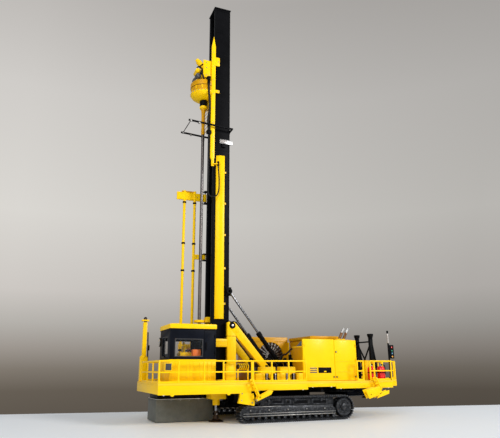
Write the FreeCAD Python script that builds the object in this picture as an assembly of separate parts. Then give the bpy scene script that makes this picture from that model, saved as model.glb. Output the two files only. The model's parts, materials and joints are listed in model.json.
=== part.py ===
"""Blasthole drilling rig, a 1:50 display model: one solid per node, in millimetres.

Frame: +X from the drill end to the engine end, -Y the side with the cab, +Z up.
The origin is the middle of the footprint, on the ground.
"""
import FreeCAD
import Part
import math
import os

V = FreeCAD.Vector

# ---------------------------------------------------------------- driving dimensions
# Deck
DECK_LENGTH = 306.0          # drill end to the tail platform
DECK_WIDTH = 143.0
DECK_TOP = 40.5
DECK_PLATE = 2.0
SIDE_DECK_END = 273.0        # length of the deck along its two sides
TAIL_WIDTH = 70.0
FASCIA_WALL = 1.6
BOARD_GAP = 0.3
FASCIA_DEPTH_DRILL_END = 9.5
FASCIA_DEPTH_MIDDLE = 7.0
FASCIA_DEPTH_NOTCH = 5.0
FASCIA_DEPTH_REAR = 8.0
CORNER_CUT_X = 16.0          # far drill-end corner
CORNER_CUT_Y = 32.0

# Deck frame
BEAM_WIDTH = 6.0
BEAM_DEPTH = 11.0
BEAM_OFFSET = 25.0           # inner face of each long beam from the middle plane
TAIL_BOX_LENGTH = 42.0
TAIL_BOX_WIDTH = 48.0
TAIL_BOX_DEPTH = 17.0
TAIL_BOX_INSET = 27.0        # from the tail end of the deck

# Handrails
RAIL_HEIGHT = 22.0
RAIL_WIDTH = 1.5
RAIL_MID = 10.5
TOE_HEIGHT = 2.0

# Drill string
PIPE_FROM_END = 61.0         # drill axis from the drill end of the deck
PIPE_RADIUS = 1.9
BIT_RADIUS = 2.6
BIT_LENGTH = 7.0
PIPE_FOOT = 45.0             # lowest point of the bit at rest
TABLE_RADIUS = 9.0
TABLE_THICKNESS = 2.0
TABLE_CLEARANCE = 0.9

# Dust hood
HOOD_LENGTH = 62.7
HOOD_WIDTH = 42.0
HOOD_WALL = 1.6
HOOD_HEIGHT = 22.5
HOOD_GROUND_GAP = 0.5
HOOD_BEHIND_PIPE = 11.4
COLLAR_INSET = 3.0

# Cab
CAB_LENGTH = 49.0
CAB_WIDTH = 46.0
CAB_INNER_SIDE = 14.8        # inner wall from the middle plane
CAB_PAST_PIPE = 1.0
CAB_FLOOR = 63.5
CAB_WALL_HEIGHT = 30.5
CAB_WALL = 1.8
CAB_ROOF_THICKNESS = 5.6
CAB_ROOF_OVERHANG = 0.8
CAB_GLASS = 0.8
SIDE_WINDOW = (28.5, 16.5)   # length, height
END_WINDOW = (27.0, 19.0)
WINDOW_SILL = 3.2

# Mast
MAST_FRONT_FROM_PIPE = 10.4
MAST_DEPTH = 22.0
MAST_WIDTH = 25.0
MAST_TOP = 532.5
MAST_FOOT = 42.5
MAST_WALL = 1.6
MAST_CHORD = 4.0
MAST_PANEL_PITCH = 31.0
CROWN_THICKNESS = 2.0
CROWN_OVERHANG = 0.8
PIVOT_HEIGHT = 102.2
PIVOT_RADIUS = 2.5
PIVOT_LENGTH = 6.5
PIVOT_BACK = 0.8             # pivot axis behind the rear face of the mast

# Mast towers
TOWER_THICKNESS = 5.0
TOWER_CLEARANCE = 0.7
TOWER_POST = 12.0
TOWER_HEAD = 7.0
LEG_WIDTH = 7.0
LEG_FOOT_FROM_PIVOT = 60.0
TOWER_CROSS_DEPTH = 9.0

# Mast cylinders
CYL_BASE_FROM_PIVOT = 71.5
CYL_BASE_HEIGHT = 45.5
CYL_EYE_HEIGHT = 141.7
CYL_SIDE = 17.2              # centre plane of each cylinder from the middle plane
BARREL_RADIUS = 2.6
BARREL_LENGTH = 62.0
ROD_RADIUS = 1.3
ROD_CLEARANCE = 0.06
ROD_LENGTH = 62.0
ROD_STOP = 4.4
PIN_CLEARANCE = 0.05
BARREL_FOOT = 5.8
EYE_RADIUS = 3.4
EYE_THICKNESS = 3.4
EYE_HOLE = 1.4
LUG_THICKNESS = 1.6
LUG_GAP = 0.5

# Rotary head
HEAD_BOTTOM = 389.0
GEARCASE_RADIUS = 16.0
GEARCASE_BACK = 5.6          # flat back, behind the drill axis
BOWL_HEIGHT = 15.0
DRUM_HEIGHT = 12.0
NECK_RADIUS = 5.0
SWIVEL_HEIGHT = 8.5
SUB_HEIGHT = 6.0
SUB_TUBE_RADIUS = 2.4
SUB_TUBE_HEIGHT = 30.0
CARRIAGE_BOTTOM = 345.0
CARRIAGE_HEIGHT = 132.0
CARRIAGE_THICKNESS = 4.0
CARRIAGE_CLEARANCE = 0.6
GUIDE_BAR_WIDTH = 5.4
GUIDE_BAR_THICKNESS = 2.2
GUIDE_BAR_BOTTOM = 302.5
GUIDE_BAR_TOP = 484.5
SHOE_LENGTH = 6.0
SHOE_THICKNESS = 1.4

# Pipe rack
RACK_SIDE = 16.5             # centre plane from the middle plane
RACK_BOTTOM = 72.0
RACK_TOP = 272.0
RACK_POST = 2.8
RACK_POSTS_FROM_PIPE = (17.5, 4.2)
RACK_HEAD_HEIGHT = 14.0
RACK_REACH = 27.5
RACK_HINGE_RADIUS = 1.8
RACK_PIN_RADIUS = 0.8
RACK_EAR = 1.5

# Guard frame round the head's path
GUARD_HEIGHT = 350.0
GUARD_SIDE = 19.0
GUARD_BAR = 2.0
GUARD_FRONT_FROM_PIPE = 21.0

# Hose tray on the mast
TRAY_TOP = 313.0
TRAY_BOTTOM = 109.5
TRAY_WIDTH = 11.0
TRAY_STANDOFF = 5.0
TRAY_FROM_FRONT = 3.0

# Hose
HOSE_RADIUS = 1.4
FITTING_HEIGHT = 6.0
LOOP_RADIUS = 0.8

# Undercarriage
TRACK_OUTER_SIDE = 66.4
TRACK_WIDTH = 16.0
TRACK_THICKNESS = 2.8
SPROCKET_FROM_PIPE = 148.8
SPROCKET_LOOP_RADIUS = 13.0
IDLER_FROM_PIPE = 33.7
IDLER_LOOP_RADIUS = 8.6
CARRIER_FROM_PIPE = 57.0
CARRIER_LOOP_RADIUS = 5.0
WHEEL_GAP = 0.3
TRACK_FRAME_BOTTOM = 6.6
TRACK_FRAME_TOP = 17.0
COVER_THICKNESS = 0.8
ROLLER_COUNT = 11
AXLE_RADIUS = 2.0
CAR_BODY_LENGTH = 70.0
CAR_BODY_BOTTOM = 11.0

# Jacks
FRONT_JACK_FROM_PIPE = 11.8
FRONT_JACK_SIDE = 30.3
REAR_JACK_FROM_PIPE = 197.0
REAR_JACK_SIDE = 43.0
JACK_ROD_RADIUS = 2.0
JACK_TUBE_RADIUS = 3.9
JACK_CLEARANCE = 0.06
JACK_BLOCK = 17.0
PAD_RADIUS = 8.0
PAD_HEIGHT = 3.6
REAR_PAD_LIFT = 20.5
REAR_TUBE_BOTTOM = 27.0
REAR_TUBE_TOP = 63.0

# Mast rest
REST_SIDE = 12.85
REST_RAKE = 8.6
REST_HEIGHT = 54.0

# Houses and machinery
HOUSE_FROM_PIPE = 102.3
HOUSE_LENGTH = 72.0
HOUSE_SIDE = 61.6
HOUSE_DEPTH = 27.0
HOUSE_HEIGHT = 45.4
HOUSE_SPLIT = 39.8
CANOPY_HEIGHT = 50.5
CANOPY_LENGTH = 58.0
CANOPY_INSET = 8.0
COOLER_FROM_PIPE = 70.0
COOLER_LENGTH = 57.0
COOLER_SIDE = 24.0
COOLER_DEPTH = 34.0
COOLER_HEIGHT = 52.0
FAN_RADIUS = 16.0
FAN_HEIGHT = 27.0
FAN_RECESS = 7.0
FAN_HUB_RADIUS = 4.0
FAN_BLADES = 8
SHELL_WALL = 1.6

# ---------------------------------------------------------------- derived places
HALF_LENGTH = DECK_LENGTH / 2
HALF_WIDTH = DECK_WIDTH / 2
DRILL_END = -HALF_LENGTH
SIDE_END = DRILL_END + SIDE_DECK_END
PIPE_X = DRILL_END + PIPE_FROM_END
PLATE_BOTTOM = DECK_TOP - DECK_PLATE
MAST_FRONT = PIPE_X + MAST_FRONT_FROM_PIPE
MAST_REAR = MAST_FRONT + MAST_DEPTH
MAST_HALF = MAST_WIDTH / 2
PIVOT_X = MAST_REAR + PIVOT_BACK


# ---------------------------------------------------------------- shape helpers
def box(x0, x1, y0, y1, z0, z1):
    return Part.makeBox(x1 - x0, y1 - y0, z1 - z0, V(x0, y0, z0))


def cylinder(radius, start, end):
    axis = end.sub(start)
    return Part.makeCylinder(radius, axis.Length, start, axis)


def cone(radius_start, radius_end, start, end):
    axis = end.sub(start)
    return Part.makeCone(radius_start, radius_end, axis.Length, start, axis)


def prism_xz(points, y0, y1):
    """A side profile of (x, z) points, given depth from y0 to y1."""
    corners = [V(x, y0, z) for x, z in points]
    face = Part.Face(Part.makePolygon(corners + corners[:1]))
    return face.extrude(V(0, y1 - y0, 0))


def prism_xy(points, z0, z1):
    """A plan of (x, y) points, given height from z0 to z1."""
    corners = [V(x, y, z0) for x, y in points]
    face = Part.Face(Part.makePolygon(corners + corners[:1]))
    return face.extrude(V(0, 0, z1 - z0))


def fuse(shapes):
    whole = shapes[0].multiFuse(shapes[1:]) if len(shapes) > 1 else shapes[0]
    return whole.removeSplitter()


def far(shape):
    """The mirror image across the middle plane."""
    return shape.mirror(V(0, 0, 0), V(0, 1, 0))


def both_sides(shape):
    return [shape, far(shape)]


def strut(start, end, width, depth):
    """A square bar between two points of the XZ plane: depth is its size along Y."""
    run = end.sub(start)
    bar = Part.makeBox(run.Length, depth, width, V(0, -depth / 2, -width / 2))
    bar.rotate(V(0, 0, 0), V(0, 1, 0), -math.degrees(math.atan2(run.z, run.x)))
    bar.translate(start)
    return bar


# ---------------------------------------------------------------- deck
def deck_plan(inset=0.0):
    """Outline of the deck, drawn in by an inset."""
    left, right = DRILL_END + inset, SIDE_END - inset
    tail, side = HALF_LENGTH - inset, HALF_WIDTH - inset
    half_tail = TAIL_WIDTH / 2 - inset
    return [
        (left, -side), (right, -side), (right, -half_tail), (tail, -half_tail),
        (tail, half_tail), (right, half_tail), (right, side),
        (left + CORNER_CUT_X, side), (left, side - CORNER_CUT_Y),
    ]


def deck_plate():
    plate = prism_xy(deck_plan(), PLATE_BOTTOM, DECK_TOP)
    bore = BIT_RADIUS + TABLE_CLEARANCE
    plate = plate.cut(cylinder(bore, V(PIPE_X, 0, PLATE_BOTTOM - 1), V(PIPE_X, 0, DECK_TOP + 1)))
    for side in (-REAR_JACK_SIDE, REAR_JACK_SIDE):
        plate = plate.cut(cylinder(JACK_TUBE_RADIUS, V(REAR_JACK_X, side, PLATE_BOTTOM - 1),
                                   V(REAR_JACK_X, side, DECK_TOP + 1)))
    return plate


# The fascia's depth changes along each side: where each depth starts, and the depth.
FASCIA_STEPS = [
    (DRILL_END, FASCIA_DEPTH_DRILL_END),
    (PIPE_X + 39.0, FASCIA_DEPTH_MIDDLE),
    (PIPE_X + 102.0, FASCIA_DEPTH_NOTCH),
    (PIPE_X + 137.0, FASCIA_DEPTH_REAR),
    (SIDE_END, FASCIA_DEPTH_REAR),
]


def wall_along(start, end, depth, thickness=FASCIA_WALL):
    """A board under the deck's edge between two plan points, on the left of the way there."""
    (x0, y0), (x1, y1) = start, end
    run = V(x1 - x0, y1 - y0, 0)
    board = Part.makeBox(run.Length, thickness, depth, V(0, 0, PLATE_BOTTOM - depth))
    board.rotate(V(0, 0, 0), V(0, 0, 1), math.degrees(math.atan2(run.y, run.x)))
    board.translate(V(x0, y0, 0))
    return board


def deck_fascia():
    """Boards under the deck's edge, deeper at the drill end than along the middle."""
    side, tail = HALF_WIDTH, TAIL_WIDTH / 2
    stepped = []
    for (start, depth), (stop, _) in zip(FASCIA_STEPS, FASCIA_STEPS[1:]):
        stepped.append(wall_along((start, -side), (stop, -side), depth))
    near = fuse(stepped)
    cut_x, cut_y = DRILL_END + CORNER_CUT_X, side - CORNER_CUT_Y
    away = far(near).cut(box(DRILL_END - 1, cut_x + BOARD_GAP, 0, side + 1, 0, DECK_TOP))
    deep, shallow = FASCIA_DEPTH_DRILL_END, FASCIA_DEPTH_REAR
    inner = side - FASCIA_WALL - BOARD_GAP
    gap = BOARD_GAP
    corner = wall_along((cut_x, side), (DRILL_END, cut_y), deep)
    corner = corner.cut(box(cut_x - gap, cut_x + 9, 0, side, 0, DECK_TOP))
    corner = corner.cut(box(DRILL_END, DRILL_END + 9, 0, cut_y + 2 * gap, 0, DECK_TOP))
    return Part.makeCompound([
        near, away, corner,
        wall_along((DRILL_END, cut_y), (DRILL_END, -inner), deep),
        wall_along((SIDE_END, -inner), (SIDE_END, -tail), shallow),
        wall_along((SIDE_END, tail), (SIDE_END, inner), shallow),
        wall_along((SIDE_END + gap, -tail), (HALF_LENGTH, -tail), shallow),
        wall_along((HALF_LENGTH, -tail + FASCIA_WALL + gap), (HALF_LENGTH, tail - FASCIA_WALL - gap), shallow),
        wall_along((HALF_LENGTH, tail), (SIDE_END + gap, tail), shallow),
    ])


def drill_table():
    top = DECK_TOP + TABLE_THICKNESS
    ring = cylinder(TABLE_RADIUS, V(PIPE_X, 0, DECK_TOP), V(PIPE_X, 0, top))
    return ring.cut(cylinder(BIT_RADIUS + TABLE_CLEARANCE, V(PIPE_X, 0, DECK_TOP), V(PIPE_X, 0, top)))


def deck_frame():
    """Two long box beams under the deck, with cross beams between them."""
    top, bottom = PLATE_BOTTOM, PLATE_BOTTOM - BEAM_DEPTH
    front = PIPE_X + FRONT_JACK_FROM_PIPE + JACK_BLOCK / 2
    rear = HALF_LENGTH - TAIL_BOX_INSET - TAIL_BOX_LENGTH
    beams = both_sides(box(front, rear, -BEAM_OFFSET - BEAM_WIDTH, -BEAM_OFFSET, bottom, top))
    crosses = [box(x, x + BEAM_WIDTH, -BEAM_OFFSET, BEAM_OFFSET, bottom + 3, top)
               for x in (front + 4, front + 60, rear - BEAM_WIDTH)]
    return fuse(beams + crosses)


def tail_box():
    """The closed box under the tail platform."""
    rear = HALF_LENGTH - TAIL_BOX_INSET
    half = TAIL_BOX_WIDTH / 2
    return box(rear - TAIL_BOX_LENGTH, rear, -half, half, PLATE_BOTTOM - TAIL_BOX_DEPTH, PLATE_BOTTOM)


def rail_panel(start, end, count):
    """A straight handrail panel: top rail, mid rail, toe board and evenly spaced posts."""
    (x0, y0), (x1, y1) = start, end
    run = V(x1 - x0, y1 - y0, 0)
    half = RAIL_WIDTH / 2
    parts = [box(-half, run.Length + half, -half, half, RAIL_HEIGHT - RAIL_WIDTH, RAIL_HEIGHT),
             box(0, run.Length, -half, half, RAIL_MID - half, RAIL_MID + half),
             box(0, run.Length, -half / 2, half / 2, 0, TOE_HEIGHT)]
    for along in spaced(0, run.Length, count):
        parts.append(box(along - half, along + half, -half, half, 0, RAIL_HEIGHT - half))
    panel = fuse(parts)
    panel.rotate(V(0, 0, 0), V(0, 0, 1), math.degrees(math.atan2(run.y, run.x)))
    panel.translate(V(x0, y0, DECK_TOP))
    return panel


def spaced(start, stop, count):
    return [start + (stop - start) * i / (count - 1) for i in range(count)]


RAIL_LINE = HALF_WIDTH - RAIL_WIDTH / 2
RAIL_END = DRILL_END + RAIL_WIDTH / 2
LADDER_GAP_FRONT = (PIPE_X + 37.0, PIPE_X + 48.0)
LADDER_GAP_REAR = (PIPE_X + 176.0, PIPE_X + 189.0)
HOUSE_START = PIPE_X + HOUSE_FROM_PIPE
HOUSE_END = HOUSE_START + HOUSE_LENGTH


def handrails():
    """Straight handrail panels along both sides and both ends, open at the ladders and the houses."""
    side = RAIL_LINE
    rear, tail = SIDE_END - RAIL_WIDTH / 2, HALF_LENGTH - RAIL_WIDTH / 2
    half_tail = (TAIL_WIDTH - RAIL_WIDTH) / 2
    step = RAIL_WIDTH + BOARD_GAP
    front_gap, front_gap_end = LADDER_GAP_FRONT
    rear_gap, rear_gap_end = LADDER_GAP_REAR
    corner_x = DRILL_END + CORNER_CUT_X + 1.0
    panels = [
        rail_panel((RAIL_END, -side), (front_gap, -side), 5),
        rail_panel((RAIL_END, -side + step), (RAIL_END, 16.0), 4),
        rail_panel((corner_x, side), (front_gap, side), 5),
        rail_panel((tail, -half_tail), (tail, half_tail), 3),
    ]
    for y in (-side, side):
        inward = -math.copysign(step, y)
        panels.append(rail_panel((front_gap_end, y), (HOUSE_START - 2, y), 4))
        panels.append(rail_panel((HOUSE_END + 2, y), (rear_gap, y), 2))
        panels.append(rail_panel((rear_gap_end, y), (rear, y), 3))
        panels.append(rail_panel((rear, y + inward), (rear, math.copysign(half_tail, y) - inward), 3))
        tail_y = math.copysign(half_tail, y)
        panels.append(rail_panel((rear, tail_y), (tail - step, tail_y), 3))
    return Part.makeCompound(panels)


def end_tower():
    """The tall lamp post at the drill end."""
    x, y = DRILL_END + 5.8, HALF_WIDTH - CORNER_CUT_Y - 9.0
    base = box(x - 5.0, x + 5.0, y - 4.0, y + 4.0, DECK_TOP, DECK_TOP + 32.0)
    neck = box(x - 2.6, x + 2.6, y - 2.2, y + 2.2, DECK_TOP + 32.0, DECK_TOP + 68.0)
    foot = DECK_TOP + 68.0
    bracket = box(x - 4.5, x + 4.5, y - 2.0, y + 2.0, foot, foot + 1.6)
    lamp = cylinder(2.0, V(x, y, foot + 1.6), V(x, y, foot + 4.4))
    return fuse([base, neck, bracket, lamp])


# ---------------------------------------------------------------- dust hood
def dust_hood():
    """Rubber walls hung under the deck round the drill axis, open below."""
    right = PIPE_X + HOOD_BEHIND_PIPE
    left = right - HOOD_LENGTH
    half = HOOD_WIDTH / 2
    shelf = HOOD_HEIGHT
    wall = HOOD_WALL
    outer = box(left, right, -half, half, HOOD_GROUND_GAP, shelf)
    inner = box(left + wall, right - wall, -half + wall, half - wall, HOOD_GROUND_GAP, shelf - wall)
    inset = COLLAR_INSET
    collar = box(left + inset, right - inset, -half + inset, half - inset, shelf, PLATE_BOTTOM)
    throat = box(left + inset + wall, right - inset - wall, -half + inset + wall, half - inset - wall,
                 shelf - wall, PLATE_BOTTOM)
    return fuse([outer.cut(inner), collar]).cut(throat)


# ---------------------------------------------------------------- cab
CAB_RIGHT = PIPE_X + CAB_PAST_PIPE
CAB_LEFT = CAB_RIGHT - CAB_LENGTH
CAB_FAR = -CAB_INNER_SIDE
CAB_NEAR = CAB_FAR - CAB_WIDTH
CAB_EAVES = CAB_FLOOR + CAB_WALL_HEIGHT


def cab_base():
    return box(CAB_LEFT, CAB_RIGHT, CAB_NEAR, CAB_FAR, DECK_TOP, CAB_FLOOR)


def window_places():
    """Each window of the cab: the lowest and highest corners of its glass."""
    length, height = SIDE_WINDOW
    sill = CAB_FLOOR + WINDOW_SILL
    x = CAB_LEFT + 5.5
    y_mid = (CAB_NEAR + CAB_FAR) / 2
    end_width, end_height = END_WINDOW
    near = (x, x + length, CAB_NEAR, CAB_NEAR + CAB_WALL, sill, sill + height)
    away = (x, x + length, CAB_FAR - CAB_WALL, CAB_FAR, sill, sill + height)
    left = (CAB_LEFT, CAB_LEFT + CAB_WALL, y_mid - end_width / 2, y_mid + end_width / 2,
            sill, sill + end_height)
    right = (CAB_RIGHT - CAB_WALL, CAB_RIGHT, y_mid - end_width / 2, y_mid + end_width / 2,
             sill, sill + end_height)
    return near, away, left, right


def cab_walls():
    shell = box(CAB_LEFT, CAB_RIGHT, CAB_NEAR, CAB_FAR, CAB_FLOOR, CAB_EAVES)
    room = box(CAB_LEFT + CAB_WALL, CAB_RIGHT - CAB_WALL, CAB_NEAR + CAB_WALL, CAB_FAR - CAB_WALL,
               CAB_FLOOR, CAB_EAVES)
    shell = shell.cut(room)
    for place in window_places():
        shell = shell.cut(box(*place))
    return shell


def cab_windows():
    panes = []
    inset = (CAB_WALL - CAB_GLASS) / 2
    for x0, x1, y0, y1, z0, z1 in window_places():
        if x1 - x0 > y1 - y0:
            panes.append(box(x0, x1, y0 + inset, y1 - inset, z0, z1))
        else:
            panes.append(box(x0 + inset, x1 - inset, y0, y1, z0, z1))
    return Part.makeCompound(panes)


def cab_seat():
    x, y = CAB_LEFT + 24.0, (CAB_NEAR + CAB_FAR) / 2
    base = box(x - 3, x + 3, y - 3, y + 3, CAB_FLOOR, CAB_FLOOR + 5)
    cushion = box(x - 5, x + 5, y - 5, y + 5, CAB_FLOOR + 5, CAB_FLOOR + 7.5)
    back = box(x - 5, x - 2.5, y - 5, y + 5, CAB_FLOOR + 7.5, CAB_FLOOR + 18)
    return fuse([base, cushion, back])


def cab_roof():
    over = CAB_ROOF_OVERHANG
    return box(CAB_LEFT - over, CAB_RIGHT + over, CAB_NEAR - over, CAB_FAR + over,
               CAB_EAVES, CAB_EAVES + CAB_ROOF_THICKNESS)


# ---------------------------------------------------------------- mast
TOWER_IN = MAST_HALF + TOWER_CLEARANCE
TOWER_OUT = TOWER_IN + TOWER_THICKNESS
CYL_BASE_X = PIVOT_X + CYL_BASE_FROM_PIVOT
CYL_EYE_X = MAST_REAR - 1.5
RACK_HINGE_X = MAST_FRONT - 0.8


def rack_arms():
    """Foot and height of each arm of the pipe rack."""
    return [(RACK_BOTTOM + 4.0, 6.0), (RACK_BOTTOM + 112.0, 6.0), (RACK_TOP - RACK_HEAD_HEIGHT, RACK_HEAD_HEIGHT)]


def mast_frame():
    """Open channel mast: rear wall, two side walls, corner chords and pivot pins."""
    skin = box(MAST_FRONT, MAST_REAR, -MAST_HALF, MAST_HALF, MAST_FOOT, MAST_TOP)
    hollow = box(MAST_FRONT, MAST_REAR - MAST_WALL, -MAST_HALF + MAST_WALL, MAST_HALF - MAST_WALL,
                 MAST_FOOT, MAST_TOP)
    channel = skin.cut(hollow)
    lip = both_sides(box(MAST_FRONT, MAST_FRONT + MAST_CHORD, -MAST_HALF, -MAST_HALF + MAST_CHORD,
                         MAST_FOOT, MAST_TOP))
    return fuse([channel] + lip)


def mast_pivots():
    """Pivot pins with their cheeks, the eye lugs of the cylinders, and the rack's hinge pins."""
    pin = cylinder(PIVOT_RADIUS, V(PIVOT_X, -MAST_HALF + MAST_WALL, PIVOT_HEIGHT),
                   V(PIVOT_X, -TOWER_OUT - 1.0, PIVOT_HEIGHT))
    heel = box(MAST_REAR, PIVOT_X + PIVOT_RADIUS + 1.0, -MAST_HALF, -MAST_HALF + 4.0,
               PIVOT_HEIGHT - 5, PIVOT_HEIGHT + 5)
    pin = pin.cut(box(MAST_FRONT, MAST_REAR, -MAST_HALF, MAST_HALF, MAST_FOOT, MAST_TOP))
    ears = []
    for z, height in rack_arms():
        foot = V(RACK_HINGE_X, RACK_SIDE, z - RACK_EAR)
        ears.append(fuse([
            cylinder(RACK_PIN_RADIUS, foot, foot + V(0, 0, height + 2 * RACK_EAR)),
            *[box(RACK_HINGE_X - 2.0, RACK_HINGE_X + 6.0, MAST_HALF, RACK_SIDE + 2.0, level, level + RACK_EAR - 0.3)
              for level in (z - RACK_EAR, z + height + 0.3)]]))
    eye_lug = box(CYL_EYE_X - 3.5, CYL_EYE_X + 3.5, -CYL_SIDE + EYE_THICKNESS / 2 + LUG_GAP, -MAST_HALF,
                  CYL_EYE_HEIGHT - 5, CYL_EYE_HEIGHT + 5)
    return Part.makeCompound(both_sides(fuse([heel, pin])) + both_sides(eye_lug) + ears)


def mast_crown():
    over = CROWN_OVERHANG
    return box(MAST_FRONT - over, MAST_REAR + over, -MAST_HALF - over, MAST_HALF + over,
               MAST_TOP, MAST_TOP + CROWN_THICKNESS)


def hose_tray():
    """Trough on the near face of the mast, with a sloped front cheek."""
    x0 = MAST_FRONT + TRAY_FROM_FRONT
    x1 = x0 + TRAY_WIDTH
    y = -MAST_HALF
    stand = TRAY_STANDOFF
    plan = [(x0, y), (x0 + stand, y - stand), (x1, y - stand), (x1, y)]
    return prism_xy(plan, TRAY_BOTTOM, TRAY_TOP)


def guard_frame():
    """Rectangular frame of bars round the head's path, carried on the rear of the mast."""
    half = GUARD_BAR / 2
    front = PIPE_X - GUARD_FRONT_FROM_PIPE
    rear = MAST_REAR + GUARD_BAR
    z0, z1 = GUARD_HEIGHT - half, GUARD_HEIGHT + half
    bars = both_sides(box(front, rear, -GUARD_SIDE - half, -GUARD_SIDE + half, z0, z1))
    cross_rear = box(MAST_REAR, rear, -GUARD_SIDE, GUARD_SIDE, z0, z1)
    cross_front = box(front, front + half, -GUARD_SIDE, GUARD_SIDE, z0 + half / 2, z1 - half / 2)
    return fuse(bars + [cross_rear, cross_front])


def lamp_bracket():
    """Work-lamp box on the near rear corner of the mast."""
    y = -MAST_HALF
    arm = box(MAST_REAR - 14, MAST_REAR + 3, y - 2.0, y, 330.0, 336.0)
    return arm


# ---------------------------------------------------------------- rotary head
# Routes of the two hoses, from their upper ends.
HOSE_ROUTE = [
    V(-90.8, -18.0, 409.5), V(-90.4, -17.9, 399.0), V(-88.6, -15.8, 387.5), V(-88.0, -15.0, 376.0),
    V(-89.9, -15.0, 362.5), V(-89.9, -15.1, 353.5), V(-88.9, -15.0, 345.0),
]
LOOP_ROUTE = [
    V(-88.9, -15.0, 340.0), V(-88.2, -15.1, 321.0), V(-88.5, -14.9, 302.0), V(-88.1, -15.0, 285.0),
    V(-88.7, -15.1, 270.5), V(-88.6, -15.4, 260.2), V(-85.3, -16.1, 256.6), V(-80.4, -16.8, 256.4),
    V(-76.8, -17.3, 259.8), V(-75.2, -17.7, 266.4), V(-75.1, -17.8, 277.0), V(-75.7, -17.7, 288.0),
    V(-76.6, -17.8, 297.0),
]

HEAD_BACK = PIPE_X + GEARCASE_BACK
CARRIAGE_BACK = HEAD_BACK + CARRIAGE_THICKNESS
GUIDE_Y = -MAST_HALF - CARRIAGE_CLEARANCE


def gearcase():
    """Round drum with a bowl below, flat at the back, and the neck under it."""
    axis = V(PIPE_X, 0, 0)
    z0 = HEAD_BOTTOM
    rim = z0 + BOWL_HEIGHT
    top = rim + DRUM_HEIGHT
    bowl = cone(NECK_RADIUS + 2.0, GEARCASE_RADIUS, axis + V(0, 0, z0), axis + V(0, 0, rim))
    drum = cylinder(GEARCASE_RADIUS, axis + V(0, 0, rim), axis + V(0, 0, top))
    back = box(HEAD_BACK, HEAD_BACK + 40, -40, 40, z0 - 1, top + 1)
    return fuse([bowl, drum]).cut(back)


def head_motors():
    """Hydraulic motors leaning out over the gearcase."""
    z = HEAD_BOTTOM + BOWL_HEIGHT + DRUM_HEIGHT
    x = PIPE_X
    block = box(x - 8, HEAD_BACK, -7, 7, z, z + 10)
    upper = cylinder(3.2, V(x - 3.5, 0, z + 10), V(x - 3.5, 0, z + 22))
    lean = cylinder(3.2, V(x - 3.5, 0, z + 20), V(x - 13.5, 0, z + 38))
    port = HOSE_ROUTE[0]
    elbow = box(port.x - 2.0, port.x + 2.0, port.y - 2.0, port.y + 13.0, z, z + 4.0)
    spigot = cylinder(HOSE_RADIUS + 0.4, port, V(port.x, port.y, z))
    return fuse([block, upper, lean, elbow, spigot])


BAR_FRONT = MAST_FRONT + 0.8 - GUIDE_BAR_WIDTH
BAR_REAR = MAST_FRONT + 0.8
BAR_OUT = GUIDE_Y - GUIDE_BAR_THICKNESS
HOSE_BLOCK = (-91.6, -85.5, -16.9, -13.6, 340.0, 345.0)
LOOP_END = LOOP_ROUTE[-1]


def carriage():
    """Plate behind the gearcase, guide bar on the near face of the mast, its shoes and hose fittings."""
    plate = box(HEAD_BACK, CARRIAGE_BACK, GUIDE_Y, -GUIDE_Y, CARRIAGE_BOTTOM, CARRIAGE_BOTTOM + CARRIAGE_HEIGHT)
    mid = (BAR_FRONT + BAR_REAR) / 2
    outline = [(mid, GUIDE_BAR_BOTTOM), (BAR_REAR, GUIDE_BAR_BOTTOM + 6), (BAR_REAR, GUIDE_BAR_TOP - 16),
               (mid, GUIDE_BAR_TOP), (BAR_FRONT, GUIDE_BAR_TOP - 16), (BAR_FRONT, GUIDE_BAR_BOTTOM + 6)]
    bar = prism_xz(outline, BAR_OUT, GUIDE_Y)
    shoes = []
    for z, height in ((441.0, 12.5), (401.0, 4.0)):
        shoe = box(BAR_REAR - 1.0, BAR_REAR + SHOE_LENGTH, GUIDE_Y - SHOE_THICKNESS, GUIDE_Y, z, z + height)
        shoes += [shoe, far(shoe), box(CARRIAGE_BACK - 1, BAR_REAR, -GUIDE_Y, -GUIDE_Y + SHOE_THICKNESS, z, z + height)]
    block = box(*HOSE_BLOCK)
    fitting = cylinder(LOOP_RADIUS + 0.6, LOOP_END, LOOP_END + V(0, 0, FITTING_HEIGHT))
    hanger_y = (BAR_OUT + GUIDE_Y) / 2
    hanger = box(BAR_FRONT + 1.5, BAR_REAR - 0.5, hanger_y - 0.7, hanger_y + 0.7,
                 LOOP_END.z + 0.5, GUIDE_BAR_BOTTOM + 12)
    root = V(BAR_REAR - 1.5, hanger_y, LOOP_END.z + 1.0)
    reach = LOOP_END.sub(root)
    arm = Part.makeBox(math.hypot(reach.x, reach.y), 1.0, FITTING_HEIGHT - 2.0, V(0, -0.5, 0))
    arm.rotate(V(0, 0, 0), V(0, 0, 1), math.degrees(math.atan2(reach.y, reach.x)))
    arm.translate(root)
    return fuse([plate, bar] + shoes + [block, fitting, arm, hanger])


SUB_TOP = HEAD_BOTTOM - SWIVEL_HEIGHT
SUB_BOTTOM = SUB_TOP - SUB_HEIGHT - SUB_TUBE_HEIGHT


def swivel():
    """Neck under the gearcase, tapering to the saver sub."""
    top = V(PIPE_X, 0, HEAD_BOTTOM)
    neck = cylinder(NECK_RADIUS, top - V(0, 0, SWIVEL_HEIGHT), top)
    shoulder = V(PIPE_X, 0, SUB_TOP - SUB_HEIGHT)
    taper = cone(SUB_TUBE_RADIUS + 0.6, NECK_RADIUS - 0.3, shoulder, V(PIPE_X, 0, SUB_TOP))
    tube = cylinder(SUB_TUBE_RADIUS, V(PIPE_X, 0, SUB_BOTTOM), shoulder)
    return fuse([neck, taper, tube])


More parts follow.
